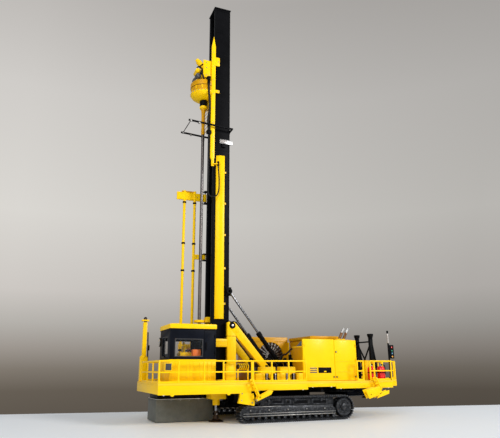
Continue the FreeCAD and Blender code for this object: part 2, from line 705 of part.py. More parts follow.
def drill_pipe():
    shoulder = V(PIPE_X, 0, PIPE_FOOT + BIT_LENGTH)
    pipe = cylinder(PIPE_RADIUS, shoulder, V(PIPE_X, 0, SUB_BOTTOM))
    bit = cylinder(BIT_RADIUS, V(PIPE_X, 0, PIPE_FOOT), shoulder)
    return fuse([pipe, bit])


# ---------------------------------------------------------------- pipe rack
def pipe_rack():
    """Two posts and three arms, swinging on vertical pins at the far front corner of the mast."""
    y = RACK_SIDE
    half = RACK_POST / 2
    parts = [box(PIPE_X - x - half, PIPE_X - x + half, y - half, y + half, RACK_BOTTOM, RACK_TOP)
             for x in RACK_POSTS_FROM_PIPE]
    for z, height in rack_arms():
        parts.append(box(PIPE_X - RACK_REACH, RACK_HINGE_X, y - half, y + half, z, z + height))
        parts.append(cylinder(RACK_HINGE_RADIUS, V(RACK_HINGE_X, y, z), V(RACK_HINGE_X, y, z + height)))
    rack = fuse(parts)
    bore = cylinder(RACK_PIN_RADIUS + PIN_CLEARANCE, V(RACK_HINGE_X, y, RACK_BOTTOM), V(RACK_HINGE_X, y, RACK_TOP))
    return rack.cut(bore)


# ---------------------------------------------------------------- mast towers and cylinders
def cylinder_bracket():
    """Deck bracket with the pin that carries a barrel's foot."""
    gap = BARREL_FOOT / 2 + LUG_GAP
    outer = gap + LUG_THICKNESS
    plates = [box(CYL_BASE_X - 4, CYL_BASE_X + 4, -CYL_SIDE + y0, -CYL_SIDE + y1, DECK_TOP, CYL_BASE_HEIGHT + 3.4)
              for y0, y1 in ((-outer, -gap), (gap, outer))]
    sole = box(CYL_BASE_X - 4, CYL_BASE_X + 4, -CYL_SIDE - gap, -CYL_SIDE + gap, DECK_TOP, DECK_TOP + 0.8)
    pin = cylinder(EYE_HOLE, V(CYL_BASE_X, -CYL_SIDE - gap, CYL_BASE_HEIGHT),
                   V(CYL_BASE_X, -CYL_SIDE + gap, CYL_BASE_HEIGHT))
    return fuse(plates + [sole, pin])


def mast_towers():
    """A-frame on each side of the mast: a post, a raking leg and the pivot bore."""
    y0, y1 = -TOWER_OUT, -TOWER_IN
    half = TOWER_POST / 2
    post = box(PIVOT_X - half, PIVOT_X + half, y0, y1, DECK_TOP, PIVOT_HEIGHT)
    head = cylinder(half, V(PIVOT_X, y0, PIVOT_HEIGHT), V(PIVOT_X, y1, PIVOT_HEIGHT))
    foot_x = PIVOT_X + LEG_FOOT_FROM_PIVOT
    leg = strut(V(PIVOT_X, 0, PIVOT_HEIGHT), V(foot_x, 0, DECK_TOP), LEG_WIDTH, TOWER_THICKNESS)
    leg.translate(V(0, (y0 + y1) / 2, 0))
    leg = leg.cut(box(PIVOT_X, foot_x + 20, y0 - 1, y1 + 1, DECK_TOP - 20, DECK_TOP))
    tower = fuse([post, head, leg])
    bore = cylinder(PIVOT_RADIUS + 0.05, V(PIVOT_X, y0, PIVOT_HEIGHT), V(PIVOT_X, y1, PIVOT_HEIGHT))
    tower = tower.cut(bore)
    return Part.makeCompound(both_sides(tower) + both_sides(cylinder_bracket()))


def cylinder_axis():
    base = V(CYL_BASE_X, -CYL_SIDE, CYL_BASE_HEIGHT)
    eye = V(CYL_EYE_X, -CYL_SIDE, CYL_EYE_HEIGHT)
    direction = eye.sub(base)
    direction.normalize()
    return base, eye, direction


def cylinder_barrel():
    base, _, along = cylinder_axis()
    half = V(0, BARREL_FOOT / 2, 0)
    foot = cylinder(EYE_RADIUS, base - half, base + half)
    tube = cylinder(BARREL_RADIUS, base, base + along * BARREL_LENGTH)
    bore = cylinder(ROD_RADIUS + ROD_CLEARANCE, base + along * ROD_STOP, base + along * (BARREL_LENGTH + 1))
    pin_hole = cylinder(EYE_HOLE + PIN_CLEARANCE, base - half * 1.2, base + half * 1.2)
    return fuse([foot, tube]).cut(bore).cut(pin_hole)


def cylinder_rod():
    _, eye, along = cylinder_axis()
    half = V(0, EYE_THICKNESS / 2, 0)
    head = cylinder(EYE_RADIUS, eye - half, eye + half)
    rod = cylinder(ROD_RADIUS, eye - along * ROD_LENGTH, eye)
    return fuse([head, rod])


# ---------------------------------------------------------------- undercarriage
SPROCKET_C = (PIPE_X + SPROCKET_FROM_PIPE, SPROCKET_LOOP_RADIUS)
IDLER_C = (PIPE_X + IDLER_FROM_PIPE, IDLER_LOOP_RADIUS)
CARRIER_C = (PIPE_X + CARRIER_FROM_PIPE, 2 * SPROCKET_LOOP_RADIUS - CARRIER_LOOP_RADIUS)
TRACK_OUT = TRACK_OUTER_SIDE
TRACK_IN = TRACK_OUTER_SIDE - TRACK_WIDTH


def belt_face(shrink):
    """The area inside a belt round idler, carrier and sprocket, drawn in by shrink."""
    y = -TRACK_OUT
    circles = [(IDLER_C, IDLER_LOOP_RADIUS - shrink), (CARRIER_C, CARRIER_LOOP_RADIUS - shrink),
               (SPROCKET_C, SPROCKET_LOOP_RADIUS - shrink)]
    edges = []
    count = len(circles)
    touch = []
    for i in range(count):
        (ax, az), ar = circles[i]
        (bx, bz), br = circles[(i + 1) % count]
        dx, dz = bx - ax, bz - az
        gap = math.hypot(dx, dz)
        heading = math.atan2(dz, dx)
        swing = math.asin((br - ar) / gap)
        normal = heading + math.pi / 2 + swing
        nx, nz = math.cos(normal), math.sin(normal)
        touch.append(((ax + ar * nx, az + ar * nz), (bx + br * nx, bz + br * nz), normal))
    for i in range(count):
        start, end, normal = touch[i]
        _, _, after = touch[(i + 1) % count]
        (cx, cz), radius = circles[(i + 1) % count]
        edges.append(Part.LineSegment(V(start[0], y, start[1]), V(end[0], y, end[1])).toShape())
        turn = (normal - after) % (2 * math.pi)
        middle = normal - turn / 2
        leave = touch[(i + 1) % count][0]
        edges.append(Part.Arc(V(end[0], y, end[1]),
                              V(cx + radius * math.cos(middle), y, cz + radius * math.sin(middle)),
                              V(leave[0], y, leave[1])).toShape())
    return Part.Face(Part.Wire(edges))


def track():
    """One track as a closed loop, out to the tips of its shoes."""
    outer = belt_face(0.0).extrude(V(0, TRACK_WIDTH, 0))
    inner = belt_face(TRACK_THICKNESS).extrude(V(0, TRACK_WIDTH, 0))
    return outer.cut(inner)


WHEEL_SHRINK = TRACK_THICKNESS + WHEEL_GAP
WHEEL_IN = TRACK_IN + 1.5
WHEEL_OUT = TRACK_OUT - 1.5


def loop_wheel(centre, loop_radius):
    x, z = centre
    radius = loop_radius - WHEEL_SHRINK
    return cylinder(radius, V(x, -WHEEL_OUT, z), V(x, -WHEEL_IN, z))


def track_wheels():
    """Sprocket, idler and the row of bottom rollers of one track."""
    x, z = SPROCKET_C
    hub = cylinder(5.5, V(x, -TRACK_OUT - COVER_THICKNESS, z), V(x, -WHEEL_OUT, z))
    sprocket = fuse([loop_wheel(SPROCKET_C, SPROCKET_LOOP_RADIUS), hub])
    idler = loop_wheel(IDLER_C, IDLER_LOOP_RADIUS)
    radius = (TRACK_FRAME_BOTTOM - WHEEL_SHRINK) / 2
    z = WHEEL_SHRINK + radius
    xs = spaced(FRAME_LEFT + radius, FRAME_RIGHT - radius, ROLLER_COUNT)
    rollers = [cylinder(radius, V(x, -WHEEL_OUT, z), V(x, -WHEEL_IN, z)) for x in xs]
    return Part.makeCompound([sprocket, idler] + rollers)


FRAME_LEFT = IDLER_C[0] + IDLER_LOOP_RADIUS + 2.0
FRAME_RIGHT = SPROCKET_C[0] - SPROCKET_LOOP_RADIUS


def track_frame():
    """Side frame inside the loop, arms to both end wheels, and the cover along the outside."""
    body = box(FRAME_LEFT, FRAME_RIGHT, -TRACK_OUT, -TRACK_IN, TRACK_FRAME_BOTTOM, TRACK_FRAME_TOP)
    arms = box(IDLER_C[0] - 3.0, SPROCKET_C[0] + 5.0, -WHEEL_IN, -TRACK_IN,
               TRACK_FRAME_BOTTOM, TRACK_FRAME_TOP - 4.0)
    cover = box(IDLER_C[0] - IDLER_LOOP_RADIUS + 1.0, FRAME_RIGHT + 2.0, -TRACK_OUT - COVER_THICKNESS, -TRACK_OUT,
                TRACK_FRAME_BOTTOM, TRACK_FRAME_TOP)
    return fuse([body, arms, cover])


def car_body():
    """The box between the two track frames, with its cross beams, under the deck frame."""
    middle = (FRAME_LEFT + FRAME_RIGHT) / 2
    top = PLATE_BOTTOM - BEAM_DEPTH
    trunk = box(middle - CAR_BODY_LENGTH / 2, middle + CAR_BODY_LENGTH / 2, -32, 32, CAR_BODY_BOTTOM, top)
    beams = [box(x - 6, x + 6, -TRACK_IN, TRACK_IN, CAR_BODY_BOTTOM, TRACK_FRAME_TOP)
             for x in (middle - CAR_BODY_LENGTH / 2 + 6, middle + CAR_BODY_LENGTH / 2 - 6)]
    return fuse([trunk] + beams)


# ---------------------------------------------------------------- jacks
FRONT_JACK_X = PIPE_X + FRONT_JACK_FROM_PIPE
REAR_JACK_X = PIPE_X + REAR_JACK_FROM_PIPE


def jack_housings():
    """Jack tubes: short ones in blocks under the deck at the drill end, tall ones at the rear."""
    bore = JACK_ROD_RADIUS + JACK_CLEARANCE
    half = JACK_BLOCK / 2
    front = fuse([
        box(FRONT_JACK_X - half, FRONT_JACK_X + half, -FRONT_JACK_SIDE - half, -FRONT_JACK_SIDE + half,
            PLATE_BOTTOM - 15.5, PLATE_BOTTOM),
        cylinder(JACK_TUBE_RADIUS, V(FRONT_JACK_X, -FRONT_JACK_SIDE, 16.7),
                 V(FRONT_JACK_X, -FRONT_JACK_SIDE, PLATE_BOTTOM))])
    front = front.cut(cylinder(bore, V(FRONT_JACK_X, -FRONT_JACK_SIDE, 16),
                               V(FRONT_JACK_X, -FRONT_JACK_SIDE, PLATE_BOTTOM)))
    rear = cylinder(JACK_TUBE_RADIUS, V(REAR_JACK_X, -REAR_JACK_SIDE, REAR_TUBE_BOTTOM),
                    V(REAR_JACK_X, -REAR_JACK_SIDE, REAR_TUBE_TOP))
    rear = rear.cut(cylinder(bore, V(REAR_JACK_X, -REAR_JACK_SIDE, REAR_TUBE_BOTTOM - 1),
                             V(REAR_JACK_X, -REAR_JACK_SIDE, REAR_TUBE_TOP - 2)))
    return Part.makeCompound(both_sides(front) + both_sides(rear))


def jack_foot(x, lift, rod_top):
    y = -FRONT_JACK_SIDE if x < 0 else -REAR_JACK_SIDE
    pad = cone(PAD_RADIUS, PAD_RADIUS * 0.45, V(x, y, lift), V(x, y, lift + PAD_HEIGHT))
    rod = cylinder(JACK_ROD_RADIUS, V(x, y, lift + PAD_HEIGHT), V(x, y, rod_top))
    return fuse([pad, rod])


# ---------------------------------------------------------------- machinery
def engine_house():
    """The near house in two compartments."""
    y0, y1 = -HOUSE_SIDE, -HOUSE_SIDE + HOUSE_DEPTH
    split = HOUSE_START + HOUSE_SPLIT
    front = box(HOUSE_START, split, y0, y1, DECK_TOP, DECK_TOP + HOUSE_HEIGHT)
    rear = box(split, HOUSE_END, y0, y1, DECK_TOP, DECK_TOP + HOUSE_HEIGHT - 0.8)
    return fuse([front, rear])


COOLER_X = PIPE_X + COOLER_FROM_PIPE
COOLER_END = COOLER_X + COOLER_LENGTH


def far_house():
    """House on the far side, from the cooler to the rear."""
    return box(COOLER_END, HOUSE_END, COOLER_SIDE, HOUSE_SIDE, DECK_TOP, DECK_TOP + HOUSE_HEIGHT)


def centre_canopy():
    """The taller roofed box between the houses."""
    x0 = HOUSE_START + CANOPY_INSET
    return box(x0, x0 + CANOPY_LENGTH, -HOUSE_SIDE + HOUSE_DEPTH, COOLER_SIDE, DECK_TOP, DECK_TOP + CANOPY_HEIGHT)



def cooler_box():
    """Cooler housing on the far side, with a round fan recess towards the cab side."""
    block = box(COOLER_X, COOLER_END, COOLER_SIDE, COOLER_SIDE + COOLER_DEPTH, DECK_TOP, DECK_TOP + COOLER_HEIGHT)
    middle = V((COOLER_X + COOLER_END) / 2, COOLER_SIDE, DECK_TOP + FAN_HEIGHT)
    return block.cut(cylinder(FAN_RADIUS, middle - V(0, 1, 0), middle + V(0, FAN_RECESS, 0)))


def cooler_fan():
    """Fan on its hub in the cooler's recess."""
    middle = V((COOLER_X + COOLER_END) / 2, COOLER_SIDE, DECK_TOP + FAN_HEIGHT)
    hub = cylinder(FAN_HUB_RADIUS, middle + V(0, 1.0, 0), middle + V(0, FAN_RECESS, 0))
    blades = []
    for i in range(FAN_BLADES):
        blade = box(FAN_HUB_RADIUS - 1, FAN_RADIUS - 1.0, -0.4, 0.4, -2.4, 2.4)
        blade.rotate(V(0, 0, 0), V(1, 0, 0), 25)
        blade.rotate(V(0, 0, 0), V(0, 1, 0), i * 360 / FAN_BLADES)
        blade.translate(middle + V(0, FAN_RECESS / 2, 0))
        blades.append(blade)
    return fuse([hub] + blades)


def engine_block():
    x0 = PIPE_X + 62.0
    return box(x0, x0 + 34.0, -11.0, 11.0, DECK_TOP, DECK_TOP + 26.0)


def exhaust_stacks():
    shapes = []
    for x in (63.0, 71.0):
        start = V(x, -50.0, DECK_TOP + HOUSE_HEIGHT - 0.8)
        shapes.append(cylinder(1.9, start, start + V(5.4, 0, 12.6)).cut(
            box(x - 6, x + 6, -60, -40, DECK_TOP, DECK_TOP + HOUSE_HEIGHT - 0.8)))
    return Part.makeCompound(shapes)


def deck_boxes():
    """Low lockers with tapered tanks on the near walkway."""
    y0, y1 = -62.0, -50.0
    z = DECK_TOP
    low = [box(PIPE_X + a, PIPE_X + b, y0, y1, z, z + 7.2) for a, b in ((45.5, 99.5),)]
    tanks = []
    for a in (51.0, 75.0):
        x = PIPE_X + a
        tanks.append(prism_xz([(x, z + 7.2), (x + 20, z + 7.2), (x + 16.5, z + 15.6), (x + 1.5, z + 15.6)],
                              y0, y1))
    return fuse(low + tanks)


def fire_bottles():
    shapes = []
    for x in (PIPE_X + 187.0, PIPE_X + 200.0):
        shapes.append(cylinder(4.2, V(x, -61.0, DECK_TOP), V(x, -61.0, DECK_TOP + 15.5)))
    return Part.makeCompound(shapes)


REST_X = HALF_LENGTH - 12.0


def mast_rest():
    """Two raking legs with cups and cross bars, under the lowered mast."""
    legs = []
    for side in (-REST_SIDE, REST_SIDE):
        leg = strut(V(REST_X, side, DECK_TOP - 5.0), V(REST_X - REST_RAKE, side, DECK_TOP + REST_HEIGHT), 5.0, 5.0)
        legs.append(leg.cut(box(REST_X - 20, REST_X + 20, side - 9, side + 9, DECK_TOP - 20, DECK_TOP)))
        cap = V(REST_X - REST_RAKE, side, DECK_TOP + REST_HEIGHT - 1.0)
        legs.append(cylinder(5.4, cap, cap + V(0, 0, 3.0)))
    for share in (0.35, 0.85):
        x, z = REST_X - REST_RAKE * share, DECK_TOP + REST_HEIGHT * share
        legs.append(box(x - 1.5, x + 1.5, -REST_SIDE, REST_SIDE, z - 1.5, z + 1.5))
    return fuse(legs)


def signal_pole():
    """Pole with four round lamps at the rear corner of the deck."""
    x, y = SIDE_END - 3.5, -65.5
    pole = box(x - 1.0, x + 1.0, y - 1.0, y + 1.0, DECK_TOP, DECK_TOP + 55.0)
    lamps = [cylinder(2.0, V(x, y - 1.0, z), V(x, y - 3.0, z)) for z in (77.1, 72.0, 67.0, 62.0)]
    return fuse([pole] + lamps)


def dust_collector():
    """Filter housing on the far side beside the mast."""
    x0 = PIPE_X + 16.0
    return box(x0, x0 + 34.0, 32.0, 62.0, DECK_TOP, DECK_TOP + 44.0)


# ---------------------------------------------------------------- ladders
def ladder(x, near_y, length, tilt):
    """A folding ladder hung at the deck edge, drawn up along the side."""
    rails = [box(0, length, y - 0.6, y + 0.6, -1.2, 1.2) for y in (-3.2, 3.2)]
    count = int(length // 5)
    rungs = [box(2.5 + 5 * i, 3.5 + 5 * i, -3.2, 3.2, -0.8, 0.8) for i in range(count)]
    shape = fuse(rails + rungs)
    shape.rotate(V(0, 0, 0), V(0, 1, 0), tilt)
    shape.translate(V(x, near_y, DECK_TOP - 5.0))
    return shape


LADDER_Y = -HALF_WIDTH - 4.2


# ---------------------------------------------------------------- hoses
def cord_tube(points, radius):
    """A round tube along straight runs, with an arc as large as the runs allow at each turn."""
    edges = []
    radii = []
    start = points[0]
    for before, corner, after in zip(points, points[1:], points[2:]):
        into, out = corner.sub(before), after.sub(corner)
        turn = into.getAngle(out)
        reach = 0.45 * min(into.Length, out.Length)
        radii.append(reach / math.tan(turn / 2))
        into.normalize()
        out.normalize()
        enter, leave = corner - into * reach, corner + out * reach
        bisector = (out - into).normalize()
        middle = corner + bisector * (radii[-1] / math.cos(turn / 2) - radii[-1])
        edges.append(Part.LineSegment(start, enter).toShape())
        edges.append(Part.Arc(enter, middle, leave).toShape())
        start = leave
    edges.append(Part.LineSegment(start, points[-1]).toShape())
    path = Part.Wire(edges)
    heading = points[1].sub(points[0])
    profile = Part.Wire(Part.makeCircle(radius, points[0], heading))
    tube = path.makePipeShell([profile], True, True)
    print("cord length", round(path.Length, 2), "volume / section", round(tube.Volume / (math.pi * radius ** 2), 2),
          "smallest radius", round(min(radii), 1))
    return tube


def head_hose():
    """Thick hose from the head's port down to the block on the guide bar."""
    return cord_tube(HOSE_ROUTE, HOSE_RADIUS)


def loop_hose():
    """Thin hose from the block down in a loop and up to its fitting behind the guide bar."""
    return cord_tube(LOOP_ROUTE, LOOP_RADIUS)


def pair(name, make):
    """Two mirrored nodes, one on each side."""
    return {f"{name}_near": make, f"{name}_far": lambda: far(make())}


NODES = {
    "deck_plate": deck_plate,
    "deck_fascia": deck_fascia,
    "deck_frame": deck_frame,
    "tail_box": tail_box,
    "drill_table": drill_table,
    "handrails": handrails,
    "end_tower": end_tower,
    "dust_hood": dust_hood,
    "cab_base": cab_base,
    "cab_walls": cab_walls,
    "cab_windows": cab_windows,
    "cab_seat": cab_seat,
    "cab_roof": cab_roof,
    "mast_frame": mast_frame,
    "mast_pivots": mast_pivots,
    "mast_crown": mast_crown,
    "hose_tray": hose_tray,
    "guard_frame": guard_frame,
    "lamp_bracket": lamp_bracket,
    "gearcase": gearcase,
    "head_motors": head_motors,
    "carriage": carriage,
    "swivel": swivel,
    "drill_pipe": drill_pipe,
    "head_hose": head_hose,
    "loop_hose": loop_hose,
    "pipe_rack": pipe_rack,
    "mast_towers": mast_towers,
    "car_body": car_body,
    "jack_housings": jack_housings,
    "engine_house": engine_house,
    "far_house": far_house,
    "centre_canopy": centre_canopy,
    "cooler_box": cooler_box,
    "cooler_fan": cooler_fan,
    "engine_block": engine_block,
    "exhaust_stacks": exhaust_stacks,
    "deck_boxes": deck_boxes,
    "dust_collector": dust_collector,
    "fire_bottles": fire_bottles,
    "mast_rest": mast_rest,
    "signal_pole": signal_pole,
    **pair("barrel", cylinder_barrel),
    **pair("rod", cylinder_rod),
    **pair("track", track),
    **pair("track_wheels", track_wheels),
    **pair("track_frame", track_frame),
    **pair("jack_front", lambda: jack_foot(FRONT_JACK_X, 0.0, 25.5)),
    **pair("jack_rear", lambda: jack_foot(REAR_JACK_X, REAR_PAD_LIFT, 58.0)),
    **pair("ladder", lambda: ladder(PIPE_X + 38.0, LADDER_Y, 27.0, 50)),
    "ladder_rear": lambda: ladder(PIPE_X + 177.0, LADDER_Y, 24.0, 40),
}


def main():
    os.makedirs("parts", exist_ok=True)
    for name, make in NODES.items():
        shape = make()
        shape.exportStep(f"parts/{name}.step")
        print(name, len(shape.Solids), round(shape.Volume, 1), shape.isValid())
    print(len(NODES), "nodes")


main()
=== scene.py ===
"""Looks for the blasthole drilling rig, a display model: Z up, metres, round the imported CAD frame."""

import json
import math

import bmesh
import bpy
from bpy.props import FloatProperty, FloatVectorProperty, PointerProperty
from mathutils import Matrix, Vector

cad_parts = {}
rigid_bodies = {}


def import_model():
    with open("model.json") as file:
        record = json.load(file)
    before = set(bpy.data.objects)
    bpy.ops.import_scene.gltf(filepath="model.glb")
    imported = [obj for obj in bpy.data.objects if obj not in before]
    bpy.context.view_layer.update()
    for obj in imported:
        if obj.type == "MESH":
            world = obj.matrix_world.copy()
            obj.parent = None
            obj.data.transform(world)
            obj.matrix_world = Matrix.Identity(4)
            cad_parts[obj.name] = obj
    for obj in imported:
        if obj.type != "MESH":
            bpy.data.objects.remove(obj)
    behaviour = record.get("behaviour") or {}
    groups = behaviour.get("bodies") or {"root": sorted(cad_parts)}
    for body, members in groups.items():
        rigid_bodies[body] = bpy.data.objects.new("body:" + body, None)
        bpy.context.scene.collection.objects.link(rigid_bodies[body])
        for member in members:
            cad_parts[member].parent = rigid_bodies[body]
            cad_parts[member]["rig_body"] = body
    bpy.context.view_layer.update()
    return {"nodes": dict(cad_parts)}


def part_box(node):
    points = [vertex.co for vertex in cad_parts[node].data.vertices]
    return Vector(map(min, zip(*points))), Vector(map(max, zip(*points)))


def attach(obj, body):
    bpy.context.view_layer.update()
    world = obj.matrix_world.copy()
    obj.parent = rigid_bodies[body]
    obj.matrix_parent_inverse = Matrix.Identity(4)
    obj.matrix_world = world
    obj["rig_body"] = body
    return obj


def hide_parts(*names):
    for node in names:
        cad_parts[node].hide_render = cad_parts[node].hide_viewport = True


bl_info = {
    "name": "Blasthole Drilling Rig Looks",
    "version": (1, 0, 0),
    "blender": (4, 5, 0),
    "location": "3D View > Sidebar > Drilling Rig",
    "description": "Models the finishes, cords and details of a display model of a drilling rig",
    "category": "Object",
}

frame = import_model()
MM = 0.001
X, Y, Z = (1, 0, 0), (0, 1, 0), (0, 0, 1)
NEAR = (0, -1, 0)


# ---------------------------------------------------------------- sizes and colours
def colour_choice(name, description, default):
    """A property that holds a colour."""
    return FloatVectorProperty(name=name, description=description, subtype="COLOR", size=3, min=0.0, max=1.0,
                               default=default)


class RigColours(bpy.types.PropertyGroup):
    yellow: colour_choice("Yellow", "Gloss paint of the deck, houses and head", (0.98, 0.60, 0.0015))
    black: colour_choice("Black", "Satin paint of the mast", (0.0026, 0.0026, 0.0032))
    cab: colour_choice("Cab", "Blue-black of the cab's walls", (0.0035, 0.0045, 0.0085))
    hood: colour_choice("Hood", "Grey of the dust hood's sheet walls", (0.105, 0.108, 0.092))
    floor: colour_choice("Floor", "Pale table top", (0.95, 0.98, 1.0))


class RigSizes(bpy.types.PropertyGroup):
    edge: FloatProperty(
        name="Edge round", description="Rounding on the edges of painted panels",
        unit="LENGTH", default=0.25 * MM, min=0.02 * MM, max=2 * MM, precision=5)
    key_power: FloatProperty(
        name="Key light", description="Power of the main soft lamp, in watts", default=15.5, min=0.0)
    fill_power: FloatProperty(
        name="Fill light", description="Power of the second soft lamp, in watts", default=9.0, min=0.0)


# ---------------------------------------------------------------- shader maths
class Value:
    """A shader socket that can be used in Python sums."""

    def __init__(self, finish, socket):
        self.finish = finish
        self.socket = socket

    def sum_of(self, operation, first, second):
        return self.finish.node("ShaderNodeMath", {"operation": operation}, {0: first, 1: second})

    def __add__(self, other):
        return self.sum_of("ADD", self, other)

    def __radd__(self, other):
        return self.sum_of("ADD", other, self)

    def __sub__(self, other):
        return self.sum_of("SUBTRACT", self, other)

    def __rsub__(self, other):
        return self.sum_of("SUBTRACT", other, self)

    def __mul__(self, other):
        return self.sum_of("MULTIPLY", self, other)

    def __rmul__(self, other):
        return self.sum_of("MULTIPLY", other, self)


class Finish:
    """A material whose look is made by nodes on Object coordinates."""

    def __init__(self, name, tree=None):
        if tree is None:
            self.material = bpy.data.materials.new(name)
            self.material.use_nodes = True
            tree = self.material.node_tree
        self.tree = tree
        self.shader = tree.nodes.get("Principled BSDF")

    def node(self, kind, settings=None, sockets=None, output=0):
        """Adds a node: its settings first, then the values or links of its sockets."""
        made = self.tree.nodes.new(kind)
        for key, value in (settings or {}).items():
            if key == "stops":
                self.set_stops(made.color_ramp, value)
            else:
                setattr(made, key, value)
        for key, value in (sockets or {}).items():
            self.feed(made.inputs[key], value)
        return Value(self, made.outputs[output])

    def set_stops(self, ramp, stops):
        while len(ramp.elements) < len(stops):
            ramp.elements.new(1.0)
        for element, (place, colour) in zip(ramp.elements, stops):
            element.position = place
            element.color = (*colour, 1.0)

    def feed(self, socket, value):
        if isinstance(value, Value):
            self.tree.links.new(value.socket, socket)
        elif hasattr(value, "__len__") and len(value) == 3 and socket.type == "RGBA":
            socket.default_value = (*value, 1.0)
        else:
            socket.default_value = value

    def set(self, **sockets):
        """Feeds the main shader's sockets, named with underscores for spaces."""
        for key, value in sockets.items():
            self.feed(self.shader.inputs[key.replace("_", " ")], value)
        return self

    def place(self):
        return self.node("ShaderNodeTexCoord", output="Object")

    def noise(self, scale, detail=2.0, roughness=0.5, stretch=None):
        """Cloudy variation, from 0 to 1, about 1 / scale metres across, stretched along Z on request."""
        where = self.place()
        if stretch:
            where = self.node("ShaderNodeMapping", None, {"Vector": where, "Scale": (1.0, 1.0, stretch)})
        return self.node("ShaderNodeTexNoise", None,
                         {"Vector": where, "Scale": scale, "Detail": detail, "Roughness": roughness})

    def cells(self, scale):
        """Small rounded cells, as in leather grain."""
        return self.node("ShaderNodeTexVoronoi", None, {"Vector": self.place(), "Scale": scale})

    def mix(self, factor, first, second):
        """A colour between two colours."""
        return self.node("ShaderNodeMix", {"data_type": "RGBA"}, {0: factor, 6: first, 7: second}, output=2)

    def spread(self, value, low, high):
        """A value stretched so that low becomes 0 and high becomes 1."""
        return self.node("ShaderNodeMapRange", None, {"Value": value, "From Min": low, "From Max": high})

    def bump(self, height, distance):
        return self.node("ShaderNodeBump", None, {"Height": height, "Distance": distance, "Strength": 1.0})


def shade(colour, factor):
    """A colour made darker or brighter."""
    return tuple(channel * factor for channel in colour)


# ---------------------------------------------------------------- finishes
def surface(name, colours, cloud, rough, reach=None, grain=None, cells=None, bump=0.0, alpha=None, grain_rough=False,
            **constants):
    """A finish of two tones: a cloud mixes them and drives the roughness, and a fine grain gives the bump.

    cloud and grain are a noise's scale, detail, roughness and stretch, reach is the part of the cloud that shows,
    rough and alpha are a base and how much the pattern adds to it, and bump is a height in millimetres.
    """
    made = Finish(name)
    pattern = made.noise(*cloud)
    if reach:
        pattern = made.spread(pattern, *reach)
    fine = made.noise(*grain) if grain else made.cells(cells) if cells else pattern
    made.set(Base_Color=made.mix(pattern, *colours) if len(colours) == 2 else colours,
             Roughness=rough[0] + rough[1] * (fine if grain_rough else pattern), **constants)
    if alpha:
        made.set(Alpha=alpha[0] + alpha[1] * pattern)
    if bump:
        made.set(Normal=made.bump(fine, bump * MM))
    return made.material


ENAMEL = dict(cloud=(55, 3), reach=(0.3, 0.7), rough=(0.30, 0.10), grain=(1400, 2), bump=0.012,
              Specular_IOR_Level=0.12, Coat_Weight=0.03, Coat_Roughness=0.12)
SATIN = dict(cloud=(70, 3), reach=(0.3, 0.7), rough=(0.42, 0.12), grain=(5200, 1), bump=0.01, Specular_IOR_Level=0.06)
LENS = dict(cloud=(1600, 0, 0.5, 4), rough=(0.12, 0.1), bump=0.03, Coat_Weight=0.5)


def bare(rough):
    """Plated or bare small parts, faintly stained."""
    return dict(cloud=(300, 4, 0.6), reach=(0.35, 0.7), rough=(rough, 0.15), grain=(3000, 1), bump=0.008, Metallic=0.9)


def tones(colour, dark, bright):
    """A dark and a bright tone of a colour."""
    return shade(colour, dark), shade(colour, bright)


FINISHES = {}
SLOTS = {}


